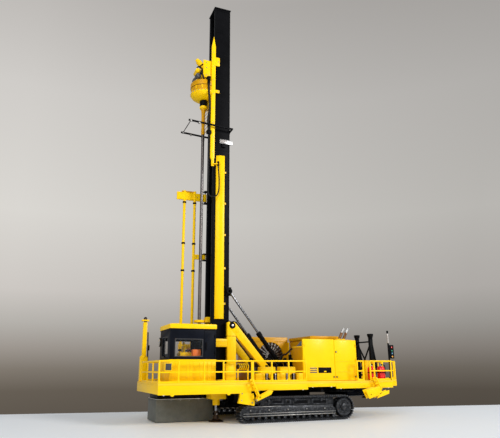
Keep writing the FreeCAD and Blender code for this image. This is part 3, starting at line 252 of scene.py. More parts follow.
def make_finishes():
    """Every finish of the rig: its name in this script, its material, its slot, its tones and its pattern."""
    colours = bpy.context.scene.rig_colours
    # The second colour below is the yellow paint made darker and redder: painted shade, for yellow parts that sit in
    # shade.
    yellow, amber = tuple(colours.yellow), (0.62, 0.30, 0.0015)
    for name, material, slot, pair, settings in (
            ("yellow", "yellow_paint", "yellow_paint", tones(yellow, 0.97, 1.03), ENAMEL),
            ("amber", "painted_shade_paint", "yellow_paint", tones(amber, 0.97, 1.03), ENAMEL),
            ("black", "black_paint", "black_paint", tones(colours.black, 0.8, 1.4), SATIN),
            ("navy", "navy_paint", "black_paint", tones(colours.cab, 0.8, 1.4), SATIN),
            ("hood", "grey_rubber", "grey_rubber", tones(colours.hood, 0.86, 1.14), dict(
                cloud=(140, 5, 0.65), reach=(0.35, 0.65), rough=(0.58, 0.16), grain=(2600, 3, 0.6), bump=0.03,
                grain_rough=True)),
            ("grey", "grey_paint", "grey_paint", ((0.055, 0.056, 0.058), (0.085, 0.086, 0.088)), dict(
                cloud=(90, 3), reach=(0.3, 0.7), rough=(0.38, 0.14), grain=(3000, 1), bump=0.01)),
            ("track", "track_metal", "track_plastic", ((0.010, 0.011, 0.013), (0.10, 0.105, 0.115)), dict(
                cloud=(420, 4, 0.7), reach=(0.5, 0.72), rough=(0.40, -0.16), grain=(3600, 2), bump=0.02,
                Metallic=0.55)),
            ("chrome", "chrome_rod", "chrome_rod", (0.20, 0.20, 0.21), dict(
                cloud=(900, 1, 0.5, 0.05), rough=(0.08, 0.10), Metallic=1.0)),
            ("pipe", "pipe_steel", "pipe_steel", ((0.07, 0.065, 0.065), (0.13, 0.11, 0.10)), dict(
                cloud=(60, 4, 0.6, 0.3), reach=(0.35, 0.7), rough=(0.24, 0.14), grain=(2400, 1), bump=0.008,
                Metallic=0.85)),
            ("hose", "hose_rubber", "hose_rubber", ((0.004, 0.004, 0.0045), (0.012, 0.012, 0.013)), dict(
                cloud=(2600, 1, 0.4, 3), rough=(0.34, 0.2), bump=0.04, Specular_IOR_Level=0.15)),
            ("red", "red_paint", "red_paint", ((0.74, 0.004, 0.004), (0.86, 0.010, 0.006)), dict(
                cloud=(120, 2), reach=(0.3, 0.7), rough=(0.22, 0.10), grain=(1800, 1), bump=0.01,
                Coat_Weight=0.3, Coat_Roughness=0.1)),
            ("glass", "window_glass", "window_glass", (0.10, 0.11, 0.12), dict(
                cloud=(260, 3), reach=(0.4, 0.8), rough=(0.06, 0.08), alpha=(0.05, 0.04))),
            ("exhaust", "exhaust_brown", "pipe_steel", ((0.13, 0.055, 0.022), (0.28, 0.14, 0.06)), dict(
                cloud=(500, 4, 0.6, 0.2), reach=(0.3, 0.7), rough=(0.30, 0.2), Metallic=0.8)),
            ("seat", "seat_plastic", "seat_plastic", ((0.020, 0.020, 0.021), (0.040, 0.040, 0.042)), dict(
                cloud=(200,), rough=(0.55, 0.1), cells=2200, bump=0.03, grain_rough=True)),
            ("tread", "tread_paint", "yellow_paint", tones(yellow, 0.9, 1.04), dict(
                cloud=(38, 5, 0.6), reach=(0.42, 0.7), rough=(0.46, 0.2), grain=(3200, 2, 0.7),
                bump=0.05, grain_rough=True)),
            ("orange", "orange_plastic", "yellow_paint", ((0.78, 0.13, 0.005), (0.90, 0.20, 0.01)), dict(
                cloud=(160, 2), rough=(0.32, 0.15), grain=(2400, 1), bump=0.015)),
            ("bolt", "zinc_bolt", "pipe_steel", ((0.36, 0.35, 0.33), (0.16, 0.15, 0.14)), bare(0.3)),
            ("silver", "silver_metal", "chrome_rod", ((0.72, 0.71, 0.69), (0.42, 0.41, 0.40)), bare(0.24)),
            ("brown", "brown_metal", "pipe_steel", ((0.085, 0.055, 0.038), (0.035, 0.022, 0.016)), bare(0.38)),
            # Pale bare steel for the shoes' grouser tips: a painted highlight.
            ("grouser_highlight", "grouser_highlight_steel", "track_plastic", ((0.20, 0.20, 0.21), (0.07, 0.07, 0.075)), bare(0.30)),
            ("white", "lens_white", "grey_paint", tones((0.42, 0.38, 0.35), 0.75, 1.0), LENS),
            ("lens_red", "lens_red", "red_paint", tones((0.60, 0.01, 0.01), 0.75, 1.0), LENS),
            ("lens_green", "lens_green", "grey_paint", tones((0.02, 0.25, 0.12), 0.75, 1.0), LENS),
            ("lens_blue", "lens_blue", "grey_paint", tones((0.10, 0.28, 0.42), 0.75, 1.0), LENS),
            ("lens_amber", "lens_amber", "yellow_paint", tones((0.80, 0.36, 0.03), 0.75, 1.0), LENS)):
        FINISHES[name] = surface(material, pair, **settings)
        SLOTS[name] = slot


# ---------------------------------------------------------------- modelling, in millimetres
class Extent:
    """A CAD node's box at rest, in millimetres, or a box of no size at the origin."""

    def __init__(self, node=None):
        low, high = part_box(node) if node else ((0, 0, 0), (0, 0, 0))
        self.x0, self.y0, self.z0 = (value / MM for value in low)
        self.x1, self.y1, self.z1 = (value / MM for value in high)
        self.x, self.y, self.z = (self.x0 + self.x1) / 2, (self.y0 + self.y1) / 2, (self.z0 + self.z1) / 2

    def __call__(self, sides, x=0, y=0, z=0):
        """A point: for X, Y and Z, '-' measures from the box's low side, '+' high, '0' middle and '.' the origin."""
        starts = ({"-": self.x0, "0": self.x, "+": self.x1}, {"-": self.y0, "0": self.y, "+": self.y1},
                  {"-": self.z0, "0": self.z, "+": self.z1})
        return Vector(start.get(side, 0) + offset for start, side, offset in zip(starts, sides, (x, y, z)))


WORLD = Extent()


class Model:
    """A piece in the making: parts are added one by one, each with its own finish."""

    def __init__(self):
        self.form = bmesh.new()
        self.finishes = []

    def add(self, part, finish):
        """Takes a finished part into the piece."""
        if finish not in self.finishes:
            self.finishes.append(finish)
        for face in part.faces:
            face.material_index = self.finishes.index(finish)
        scrap = bpy.data.meshes.new("part")
        part.to_mesh(scrap)
        part.free()
        self.form.from_mesh(scrap)
        bpy.data.meshes.remove(scrap)

    def parts(self, box, rows):
        """Parts from a cutting list: each row has a kind, its two corners or ends, what else it takes, and its copies.

        A corner is the sides it is measured from and three distances, as in Extent. Copies are *count and a step.
        """
        for row in rows.strip().splitlines():
            row, *copies = row.split("*")
            kind, low, *cells = row.split()
            high = cells.pop(3)
            values = [cell if cell[0].isalpha() else int(cell) if cell.isdigit() else float(cell) for cell in cells]
            places = [Vector()]
            for copy in copies:
                count, *step = map(float, copy.split())
                places = [place + Vector(step) * i for place in places for i in range(int(count))]
            for place in places:
                getattr(self, kind)(box(low, *values[:3]) + place, box(high, *values[3:6]) + place, *values[6:])

    def slab(self, matrix, size, finish="yellow", edge=None, segments=2):
        """A box of a size, centred and turned by a matrix."""
        part = bmesh.new()
        bmesh.ops.create_cube(part, size=1.0, matrix=matrix @ Matrix.Diagonal((*size, 1.0)))
        soften(part, edge, segments)
        self.add(part, finish)

    def block(self, low, high, edge=0.3, finish="yellow"):
        """A box with rounded edges between two corners."""
        low, high = Vector(low), Vector(high)
        self.slab(Matrix.Translation((low + high) / 2), high - low, finish, edge)

    def rod(self, start, end, radius, finish="yellow", sides=24, edge=None, end_radius=None):
        """A round bar, or a cone with another end radius."""
        start, end = Vector(start), Vector(end)
        part = bmesh.new()
        bmesh.ops.create_cone(
            part, cap_ends=True, cap_tris=False, segments=sides, radius1=radius,
            radius2=radius if end_radius is None else end_radius,
            depth=(end - start).length, matrix=along(start, end))
        soften(part, edge)
        self.add(part, finish)

    def beam(self, start, end, wide, deep, edge=0.3, finish="yellow"):
        """A square bar from one point to another: deep along the model's Y when it can be."""
        start, end = Vector(start), Vector(end)
        self.slab(along(start, end), (wide, deep, (end - start).length), finish, edge)

    def plate(self, outline, thickness, edge=0.3, finish="yellow"):
        """A flat plate: its outline's points in space, thickened by a vector."""
        part = bmesh.new()
        extrude(part, outline, thickness)
        soften(part, edge)
        self.add(part, finish)

    def side_plate(self, outline, y, thickness, edge=0.3, finish="yellow"):
        """A plate that faces along Y, from its outline's (X, Z) points."""
        self.plate([(x, y, z) for x, z in outline], (0, thickness, 0), edge, finish)

    def turned(self, centre, profile, finish="yellow", steps=28, limit=30, axis=Z, cut=None):
        """A turned part: (radius, height) points spun round an axis through a centre, cut flat by a plane."""
        part = bmesh.new()
        verts = [part.verts.new((radius, 0.0, height)) for radius, height in profile]
        edges = [part.edges.new(pair) for pair in zip(verts, verts[1:])]
        bmesh.ops.spin(part, geom=verts + edges, cent=(0, 0, 0), axis=Z, dvec=(0, 0, 0),
                       angle=math.tau, steps=steps, use_merge=True, use_duplicate=False)
        bmesh.ops.remove_doubles(part, verts=part.verts, dist=0.001)
        turn = Vector(axis).normalized().to_track_quat("Z", "Y").to_matrix().to_4x4()
        bmesh.ops.transform(part, matrix=Matrix.Translation(centre) @ turn, verts=part.verts)
        if cut:
            whole = list(part.verts) + list(part.edges) + list(part.faces)
            bmesh.ops.bisect_plane(part, geom=whole, dist=0.0001, plane_co=cut[0], plane_no=cut[1], clear_outer=True)
            bmesh.ops.holes_fill(part, edges=[e for e in part.edges if e.is_boundary], sides=0)
        bmesh.ops.recalc_face_normals(part, faces=part.faces)
        mark_edges(part, limit)
        self.add(part, finish)

    def ball(self, centre, radius, finish="yellow", stretch=(1.0, 1.0, 1.0)):
        """A ball, flattened or drawn out on request."""
        part = bmesh.new()
        place = Matrix.Translation(centre) @ Matrix.Diagonal((*stretch, 1.0))
        bmesh.ops.create_uvsphere(part, u_segments=20, v_segments=12, radius=radius, matrix=place)
        mark_edges(part, 60.0)
        self.add(part, finish)

    def pipe(self, points, radius, finish="hose", sides=10):
        """A bent pipe: rings along a rounded line through points, joined up."""
        line = rounded(points)
        part = bmesh.new()
        rings = []
        for before, point, after in zip(line[:1] + line, line, line[1:] + line[-1:]):
            place = along(before, after)
            place.translation = point
            ring = bmesh.ops.create_circle(part, cap_ends=False, segments=sides, radius=radius, matrix=place)
            rings.append(list(dict.fromkeys(e for vert in ring["verts"] for e in vert.link_edges)))
        for ring, following in zip(rings, rings[1:]):
            bmesh.ops.bridge_loops(part, edges=ring + following)
        for ring in (rings[0], rings[-1]):
            bmesh.ops.edgeloop_fill(part, edges=ring)
        bmesh.ops.recalc_face_normals(part, faces=part.faces)
        mark_edges(part, 50.0)
        self.add(part, finish)

    def bolts(self, places, axis, radius=0.55, height=0.45, finish="bolt"):
        """Hexagon heads that stand on a surface."""
        for place in places:
            self.rod(place, Vector(place) + Vector(axis) * height, radius, finish, 6, 0)

    def surround(self, low, high, wide, edge=0.12, finish="yellow"):
        """Four bars round a rectangular opening, in the plane where the corners differ least."""
        low, high = Vector(low), Vector(high)
        thin = min(range(3), key=lambda i: high[i] - low[i])
        a, b = [i for i in range(3) if i != thin]
        for one, other, over in ((a, b, wide), (b, a, 0.0)):
            for place in (low[one] - wide, high[one]):
                start, end = low.copy(), high.copy()
                start[one], end[one] = place, place + wide
                start[other] -= over
                end[other] += over
                self.block(start, end, edge, finish)

    def louvres(self, low, high, count, finish="black", lean=0.5):
        """A row of leaning slats across a rectangle that faces along Y or X, one above the other."""
        low, high = Vector(low), Vector(high)
        pitch = (high.z - low.z) / count
        across_x = high.x - low.x > high.y - low.y
        turn = Matrix.Rotation(lean, 4, "X") if across_x else Matrix.Rotation(-lean, 4, "Y")
        size = (high.x - low.x, high.y - low.y, pitch * 0.45)
        for i in range(count):
            place = Matrix.Translation(((low.x + high.x) / 2, (low.y + high.y) / 2, low.z + pitch * (i + 0.5)))
            self.slab(place @ turn, size, finish, 0.08, 1)

    def finish(self, name, node=None, body="rig", slot=None, far=False):
        """Makes the piece an object in place of a CAD node, or on a CAD body: mirrored if it's for the far side."""
        bmesh.ops.scale(self.form, vec=(MM, -MM if far else MM, MM), verts=self.form.verts)
        if far:
            bmesh.ops.reverse_faces(self.form, faces=self.form.faces)
        mesh = bpy.data.meshes.new(name)
        self.form.to_mesh(mesh)
        self.form.free()
        for finish in self.finishes:
            mesh.materials.append(FINISHES[finish])
        piece = bpy.data.objects.new(name, mesh)
        bpy.context.scene.collection.objects.link(piece)
        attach(piece, frame["nodes"][node]["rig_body"] if node else body)
        if node:
            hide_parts(node)
        slot or SLOTS[self.finishes[0]]
        return piece


def along(start, end):
    """A placing whose Z runs from start to end, about their middle, with its Y near the model's Y."""
    run = (end - start).normalized()
    side = Vector((0, 1, 0)) if abs(run.y) < 0.9 else Vector((1, 0, 0))
    across = side.cross(run).normalized()
    turn = Matrix((across, run.cross(across), run)).transposed().to_4x4()
    return Matrix.Translation((start + end) / 2) @ turn


def rounded(points, passes=3):
    """A line with its corners cut off again and again, from the first point to the last."""
    line = [Vector(point) for point in points]
    for _ in range(passes):
        cut = [line[0]]
        for start, end in zip(line, line[1:]):
            cut += [start.lerp(end, 0.25), start.lerp(end, 0.75)]
        line = cut + [line[-1]]
    return line


def extrude(part, outline, thickness):
    """Makes a plate of an outline."""
    face = part.faces.new([part.verts.new(point) for point in outline])
    out = bmesh.ops.extrude_face_region(part, geom=[face])
    lifted = [item for item in out["geom"] if isinstance(item, bmesh.types.BMVert)]
    bmesh.ops.translate(part, verts=lifted, vec=thickness)
    bmesh.ops.recalc_face_normals(part, faces=part.faces)


def soften(part, edge=None, segments=2):
    """Rounds a part's sharp edges."""
    width = bpy.context.scene.rig_sizes.edge / MM if edge is None else edge
    sharp = [e for e in part.edges if len(e.link_faces) == 2 and e.calc_face_angle() > math.radians(40)]
    if width > 0 and sharp:
        bmesh.ops.bevel(part, geom=sharp, offset=width, offset_type="OFFSET", affect="EDGES",
                        segments=segments, profile=0.5, material=-1, clamp_overlap=True)
    mark_edges(part, 38.0)


def mark_edges(part, limit):
    """Shades a part smooth but for its edges sharper than a limit in degrees."""
    for face in part.faces:
        face.smooth = True
    for e in part.edges:
        if len(e.link_faces) == 2 and e.calc_face_angle() > math.radians(limit):
            e.smooth = False


def dress(node, finish, edge=None):
    """A closed copy of a CAD node with its edges rounded, which stands for it."""
    part = bmesh.new()
    part.from_mesh(frame["nodes"][node].data)
    bmesh.ops.scale(part, vec=(1 / MM, 1 / MM, 1 / MM), verts=part.verts)
    bmesh.ops.remove_doubles(part, verts=part.verts, dist=0.001)
    bmesh.ops.dissolve_limit(part, angle_limit=math.radians(1.0), verts=part.verts, edges=part.edges)
    soften(part, edge)
    model = Model()
    model.add(part, finish)
    model.finish(node + "_finished", node)


def paint(node, finish):
    """Gives a CAD node a finish in place of its plain one."""
    mesh = frame["nodes"][node].data
    mesh.materials.clear()
    mesh.materials.append(FINISHES[finish])


def around(centre, radius, count, axis=Z):
    """Equally spaced points on a circle that faces along Z or Y."""
    first, second = Vector(X), Vector(Y if axis == Z else Z)
    angles = [math.tau * i / count for i in range(count)]
    return [Vector(centre) + (first * math.cos(a) + second * math.sin(a)) * radius for a in angles]


def disc(radius, height):
    """The profile of a solid cylinder."""
    return [(0, 0), (radius, 0), (radius, height), (0, height)]


def sleeve(inner, outer, height):
    """The profile of a hollow cylinder."""
    return [(inner, 0), (outer, 0), (outer, height), (inner, height), (inner, 0)]


# ---------------------------------------------------------------- camera, lamps and floor
EYE = (-0.26635, -0.58821, 0.05398)
HEADING, PITCH, ROLL = 21.71, 16.09, -0.28
FOCAL_LENGTH = 37.17
SENSOR = 36.0
SHIFT = (0.0074, 0.0016)
TABLE_BACK = ((-0.60, 0.228), (0.90, -0.058))
TABLE_REACH = 1.3
TABLE_THICKNESS = 0.03
# Backdrop tones from bottom to top; the dark bottom is painted shade towards the table.
BACKDROP = [
    (0.0, (0.10, 0.085, 0.068)), (0.09, (0.13, 0.11, 0.088)), (0.14, (0.21, 0.185, 0.155)),
    (0.19, (0.33, 0.30, 0.27)), (0.25, (0.45, 0.43, 0.40)), (0.33, (0.59, 0.56, 0.53)),
    (0.52, (0.68, 0.66, 0.625)), (0.80, (0.61, 0.59, 0.565)), (1.0, (0.48, 0.46, 0.44))]


def link(name, data, matrix=None):
    """Puts new data in the scene as an object."""
    made = bpy.data.objects.new(name, data)
    if matrix:
        made.matrix_world = matrix
    bpy.context.scene.collection.objects.link(made)
    return made


def add_camera():
    """The camera, from its place, its heading and its lens."""
    data = bpy.data.cameras.new("camera")
    data.lens = FOCAL_LENGTH
    data.sensor_width = SENSOR
    data.shift_x, data.shift_y = SHIFT
    data.clip_start = 0.01
    yaw, pitch, roll = map(math.radians, (HEADING, PITCH, ROLL))
    forward = Vector((math.sin(yaw) * math.cos(pitch), math.cos(yaw) * math.cos(pitch), math.sin(pitch)))
    right = Vector((math.cos(yaw), -math.sin(yaw), 0.0))
    up = right.cross(forward)
    right, up = (right * math.cos(roll) + up * math.sin(roll),
                 up * math.cos(roll) - right * math.sin(roll))
    turn = Matrix((right, up, -forward)).transposed().to_4x4()
    bpy.context.scene.camera = link("camera", data, Matrix.Translation(EYE) @ turn)


def add_lamp(name, place, aim, size, power):
    """A soft round lamp that points at an aim."""
    data = bpy.data.lights.new(name, "AREA")
    data.shape = "DISK"
    data.size = size
    data.energy = power
    heading = (Vector(aim) - Vector(place)).to_track_quat("-Z", "Y").to_matrix().to_4x4()
    link(name, data, Matrix.Translation(place) @ heading)


def add_table(colour):
    """The pale table top, with its rounded back edge a hand's width behind the rig."""
    top = bmesh.new()
    (x0, y0), (x1, y1) = TABLE_BACK
    slope, reach = (y1 - y0) / (x1 - x0), TABLE_REACH
    extrude(top, [(-reach, -reach, 0), (reach, -reach, 0), (reach, y0 + slope * (reach - x0), 0),
                  (-reach, y0 + slope * (-reach - x0), 0)], (0, 0, -TABLE_THICKNESS))
    bmesh.ops.bevel(top, geom=list(top.edges), offset=1.2 * MM, offset_type="OFFSET", affect="EDGES",
                    segments=3, profile=0.5, material=-1)
    mesh = bpy.data.meshes.new("table_top")
    top.to_mesh(mesh)
    top.free()
    board = Finish("table_top")
    mesh.materials.append(board.set(
        Base_Color=board.mix(board.noise(6.0), shade(colour, 0.97), colour), Roughness=0.45,
        Normal=board.bump(board.noise(700.0), 0.01 * MM)).material)
    link("table_top", mesh)


def add_world():
    """Plain soft light all round, and a grey backdrop that darkens towards the table and to the right: that darkening
    is painted shade.
    """
    scene = bpy.context.scene
    world = scene.world or bpy.data.worlds.new("studio")
    scene.world = world
    world.use_nodes = True
    world.node_tree.nodes.clear()
    studio = Finish("studio", world.node_tree)
    direction = studio.node("ShaderNodeTexCoord", output="Generated")
    height = studio.node("ShaderNodeSeparateXYZ", None, {0: direction}, output=2)
    # The backdrop is made darker to the right: painted shade.
    aside = studio.spread(studio.node("ShaderNodeSeparateXYZ", None, {0: direction}, output=0), -0.05, 0.70)
    backdrop = studio.node("ShaderNodeValToRGB", {"stops": BACKDROP}, {0: studio.spread(height, -0.10, 0.62)})
    ray = studio.node("ShaderNodeLightPath", output="Is Camera Ray")
    soft = studio.node("ShaderNodeBackground", None, {"Color": (0.95, 0.97, 1.0), "Strength": 0.40})
    seen = studio.node("ShaderNodeBackground", None, {"Color": backdrop, "Strength": 1.03 - 0.32 * aside})
    both = studio.node("ShaderNodeMixShader", None, {0: ray, 1: soft, 2: seen})
    out = studio.tree.nodes.new("ShaderNodeOutputWorld")
    studio.tree.links.new(both.socket, out.inputs[0])


class RIG_OT_stage(bpy.types.Operator):
    """Adds the camera, the soft lamps, the backdrop and the table top"""
    bl_idname = "rig.stage"
    bl_label = "Stage"

    def execute(self, context):
        sizes = context.scene.rig_sizes
        context.scene.view_settings.view_transform = "Standard"
        make_finishes()
        add_camera()
        add_world()
        add_lamp("key_lamp", (0.75, -1.25, 0.75), (0.0, 0.0, 0.2), 0.45, sizes.key_power)
        add_lamp("fill_lamp", (-0.9, -1.1, 0.7), (0.0, 0.0, 0.15), 0.9, sizes.fill_power)
        add_table(tuple(context.scene.rig_colours.floor))
        return {"FINISHED"}


# ---------------------------------------------------------------- hoses
HOSE_ROUTE = [
    (-0.0908, -0.0180, 0.4095), (-0.0904, -0.0179, 0.3990), (-0.0886, -0.0158, 0.3875),
    (-0.0880, -0.0150, 0.3760), (-0.0899, -0.0150, 0.3625), (-0.0899, -0.0151, 0.3535),
    (-0.0889, -0.0150, 0.3450)]
LOOP_ROUTE = [
    (-0.0889, -0.0150, 0.3400), (-0.0882, -0.0151, 0.3210), (-0.0885, -0.0149, 0.3020),
    (-0.0881, -0.0150, 0.2850), (-0.0887, -0.0151, 0.2705), (-0.0886, -0.0154, 0.2602),
    (-0.0853, -0.0161, 0.2566), (-0.0804, -0.0168, 0.2564), (-0.0768, -0.0173, 0.2598),
    (-0.0752, -0.0177, 0.2664), (-0.0751, -0.0178, 0.2770), (-0.0757, -0.0177, 0.2880),
    (-0.0766, -0.0178, 0.2970)]
HOSE_RADIUS = 1.4 * MM
LOOP_RADIUS = 0.8 * MM


def add_hose(name, route, radius):
    """A hose along a smooth line through its route."""
    data = bpy.data.curves.new(name, "CURVE")
    data.dimensions = "3D"
    data.resolution_u = 12
    data.bevel_depth = radius
    data.bevel_resolution = 5
    spline = data.splines.new("NURBS")
    spline.points.add(len(route) - 1)
    for point, place in zip(spline.points, route):
        point.co = (*place, 1.0)
    spline.order_u = 3
    spline.use_endpoint_u = True
    data.materials.append(FINISHES["hose"])
    hose = link(name, data)
    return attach(hose, "head")


class RIG_OT_hoses(bpy.types.Operator):
    """Adds the two hoses of the rotary head"""
    bl_idname = "rig.hoses"
    bl_label = "Hoses"

    def execute(self, context):
        thick = add_hose("thick_hose", HOSE_ROUTE, HOSE_RADIUS)
        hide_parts("head_hose")
        thin = add_hose("thin_hose", LOOP_ROUTE, LOOP_RADIUS)
        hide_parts("loop_hose")
        return {"FINISHED"}


# ---------------------------------------------------------------- deck and handrails
EDGE_BOARDS = ((0, 100, 8.4), (100, 163, 5.9), (163, 198, 3.4), (198, 273, 5.6))
HATCHES = ((20, 40, 12, 30), (112, 50, 24, 16), (176, -32, 5, 26), (250, -8, 12, 20))
SIDE_RAILS = (
    ((0.8, 98), (0.8, 20.1, 46.5, 67, 98)), ((99.5, 161.3), (99.5, 120.9, 140.7, 161.3)),
    ((226.5, 234.5), (226.5, 234.5)), ((243.8, 272.2), (243.8, 249.2, 272.2)))
FAR_FRONT_POSTS = (17, 37.2, 57.5, 77.8, 98)
RAIL_BAR = 1.5
TAIL_RAIL, INNER_RAIL = 272.2, 34.2


class RIG_OT_deck(bpy.types.Operator):
    """Finishes the deck plate, its edge boards, hatches, the frame below and the drill table"""
    bl_idname = "rig.deck"
    bl_label = "Deck"

    def execute(self, context):
        dress("deck_plate", "tread", 0.3)
        dress("deck_frame", "black", 0.5)
        deck = Extent("deck_plate")
        boards = Model()
        wall, side_end, tail = 1.6, deck.x0 + 273, 35
        for side in (-1, 1):
            y0, y1 = sorted((side * deck.y1, side * (deck.y1 - wall)))
            for start, end, depth in EDGE_BOARDS:
                first = 16.3 if side > 0 and start == 0 else start
                boards.block(deck("-.-", first, y0, -depth), deck("-.-", end, y1))
            y0, y1 = sorted((side * (deck.y1 - wall - 0.1), side * tail))
            boards.block((side_end - wall, y0, deck.z0 - 5.6), (side_end, y1, deck.z0))
            y0, y1 = sorted((side * tail, side * (tail - wall)))
            boards.block((side_end + 0.1, y0, deck.z0 - 5.6), deck("+.-", 0, y1))
        boards.block(deck("-.-", 0, -deck.y1 + wall + 0.1, -8.4), deck("-+-", wall, -32.5))
        boards.block(deck("+.-", -wall, -tail + wall + 0.1, -5.6), deck("+.-", 0, tail - wall - 0.1))
        boards.plate([deck("-+-", 0, -32), deck("-+-", 16), deck("-+-", 18.2), deck("-+-", 1.2, -33)], (0, 0, -8.4),
            0.2)
        boards.finish("edge_boards", "deck_fascia")
        trim = Model()
        for side in (deck.y0, deck.y1):
            inward = math.copysign(1, -side)
            for start, end, depth in EDGE_BOARDS:
                low = deck.z0 - depth
                first = max(start, 16 if side > 0 else 0)
                trim.rod((deck.x0 + first, side + 0.5 * inward, low), (deck.x0 + end, side + 0.5 * inward, low), 0.45)
                for x in (deck.x0 + first + 6, deck.x0 + end - 6):
                    trim.rod((x, side + 1.4 * inward, low - 0.2), (x, side + 0.4 * inward, low - 0.2), 1, "silver")
            for x in (deck.x0 + 14.5, deck.x0 + 72.7):
                trim.rod((x, side + 0.2 * inward, deck.z0 - 8.2), (x, side + 1.8 * inward, deck.z0 - 8.2), 2.1)
        for x in (deck.x0 + 30, deck.x0 + 60, deck.x0 + 220):
            for side in (-58, 58):
                trim.rod((x, side, deck.z0 - 1.6), (x, side, deck.z0 + 0.2), 1.8, "black")
        trim.finish("edge_trim")
        covers = Model()
        for x, y, long, wide in HATCHES:
            low = deck("-.+", x, y, -0.1)
            covers.block(low, (low.x + long, y + wide, deck.z1 + 0.5), 0.3, "tread")
            corners = [(low.x + a, y + b, deck.z1 + 0.4) for a in (1.5, long - 1.5) for b in (1.5, wide - 1.5)]
            covers.bolts(corners, Z)
            grip = Vector((low.x + long / 2, y + wide / 2, deck.z1 + 0.9))
            covers.beam(grip - Vector((2, 0, 0)), grip + Vector((2, 0, 0)), 0.5, 0.5, 0.1, "black")
        covers.finish("deck_hatches")
        table = Extent("drill_table")
        ring = Model()
        ring.turned(table("0.-"), [(3.5, 0), (9, 0), (9, 1.1), (8.5, 1.6), (6.2, 1.6), (5.8, 2), (3.9, 2), (3.5, 1.6),
            (3.5, 0)], steps=32)
        ring.bolts(around(table("0.-", 0, 0, 1.5), 7.4, 12), Z, 0.6, 0.45)
        ring.finish("drill_table_ring", "drill_table")
        box = Extent("tail_box")
        belly = Model()
        belly.block(box("---"), box("+++"), 0.8, "navy")
        # The grey strips at the box's bottom and top edges are painted highlight lines.
        belly.parts(box, """
            block --- -0.2 -0.25 0.3  ++- 0.2 0.25 1.3  0.3 grey
            block --+ -0.2 -0.25 -1.9  +++ 0.2 0.25 -0.9  0.3 grey
            block --- 5 -0.3 3  -++ 5.8 0.3 -3  0.2 navy *4 10.5 0 0
            rod 0.- 0 0 -0.6  0.- 0 0 0.5  3 bolt 24 0.3""")
        belly.finish("tail_tank", "tail_box")
        return {"FINISHED"}


def rail_panel(model, start, end, posts):
    """A straight handrail panel: top rail, mid rail, toe board, and posts with their gussets and feet."""
    rails = Extent("handrails")
    start, end = Vector((*start, rails.z0)), Vector((*end, rails.z0))
    run = (end - start).normalized()
    across = run.cross(Vector(Z))
    turn = Matrix((run, across, Vector(Z))).transposed().to_4x4()
    if across.length == 0:
        raise RuntimeError("a handrail panel has no length")
    middle, length = (start + end) / 2, (end - start).length
    for low, high, thick, over in ((20.5, 22, RAIL_BAR, RAIL_BAR), (9.8, 11.2, 1.3, 0), (0, 2, 0.8, 0)):
        place = Matrix.Translation(middle + Vector((0, 0, (low + high) / 2))) @ turn
        model.slab(place, (length + over, thick, high - low), "yellow", 0.25)
    for post in posts:
        foot = start + run * post
        model.slab(Matrix.Translation(foot + Vector((0, 0, 10.5))) @ turn, (RAIL_BAR, RAIL_BAR, 21), "yellow", 0.25)
        model.slab(Matrix.Translation(foot + Vector((0, 0, 0.25))) @ turn, (1.6, 1.6, 0.5), "yellow", 0.12)
        for side in (-1, 1):
            if not 0 <= post + side * 2.7 <= length:
                continue
            toe = foot - across * 0.3 + run * side * 0.7
            model.plate([toe, toe + run * side * 2, toe + Vector((0, 0, 4.2))], across * 0.6, 0.1)


class RIG_OT_handrails(bpy.types.Operator):
    """Makes the handrails, with gussets and feet at their posts, and the blank plates they carry"""
    bl_idname = "rig.handrails"
    bl_label = "Handrails"

    def execute(self, context):
        rails = Extent("handrails")
        left, side = rails.x0, rails.y1 - RAIL_BAR / 2
        fence = Model()
        for y in (-side, side):
            for (start, end), posts in SIDE_RAILS:
                if y > 0 and start < 1:
                    start, posts = FAR_FRONT_POSTS[0], FAR_FRONT_POSTS
                rail_panel(fence, (left + start, y), (left + end, y), [post - start for post in posts])
            inner = math.copysign(INNER_RAIL, y)
            inward = -math.copysign(1.8, y)
            rail_panel(fence, (left + TAIL_RAIL, y + inward), (left + TAIL_RAIL, inner - inward), (0, 16.5, 32))
            rail_panel(fence, (left + TAIL_RAIL, inner), (rails.x1 - 2.6, inner), (0, 15, 31))
        rail_panel(fence, (left + 0.8, -side + 1.8), (left + 0.8, 16), (0, 28, 56, 85))
        end = rails.x1 - 0.8
        rail_panel(fence, (end, -INNER_RAIL), (end, INNER_RAIL), (0, INNER_RAIL, 2 * INNER_RAIL))
        fence.finish("handrail_panels", "handrails")
        signs = Model()
        signs.parts(rails, """
            block --- 6 0.1 11.8  --- 13.2 0.6 19.4  0.15
            block --- 6.6 -0.05 12.4  --- 12.6 0.2 18.8  0.05 seat""")
        signs.finish("blank_plates")
        return {"FINISHED"}


# ---------------------------------------------------------------- cab
BASE_RIBS = (3.2, 6.6, 17.8, 21.3, 24.8, 31.4, 40, 44.5)


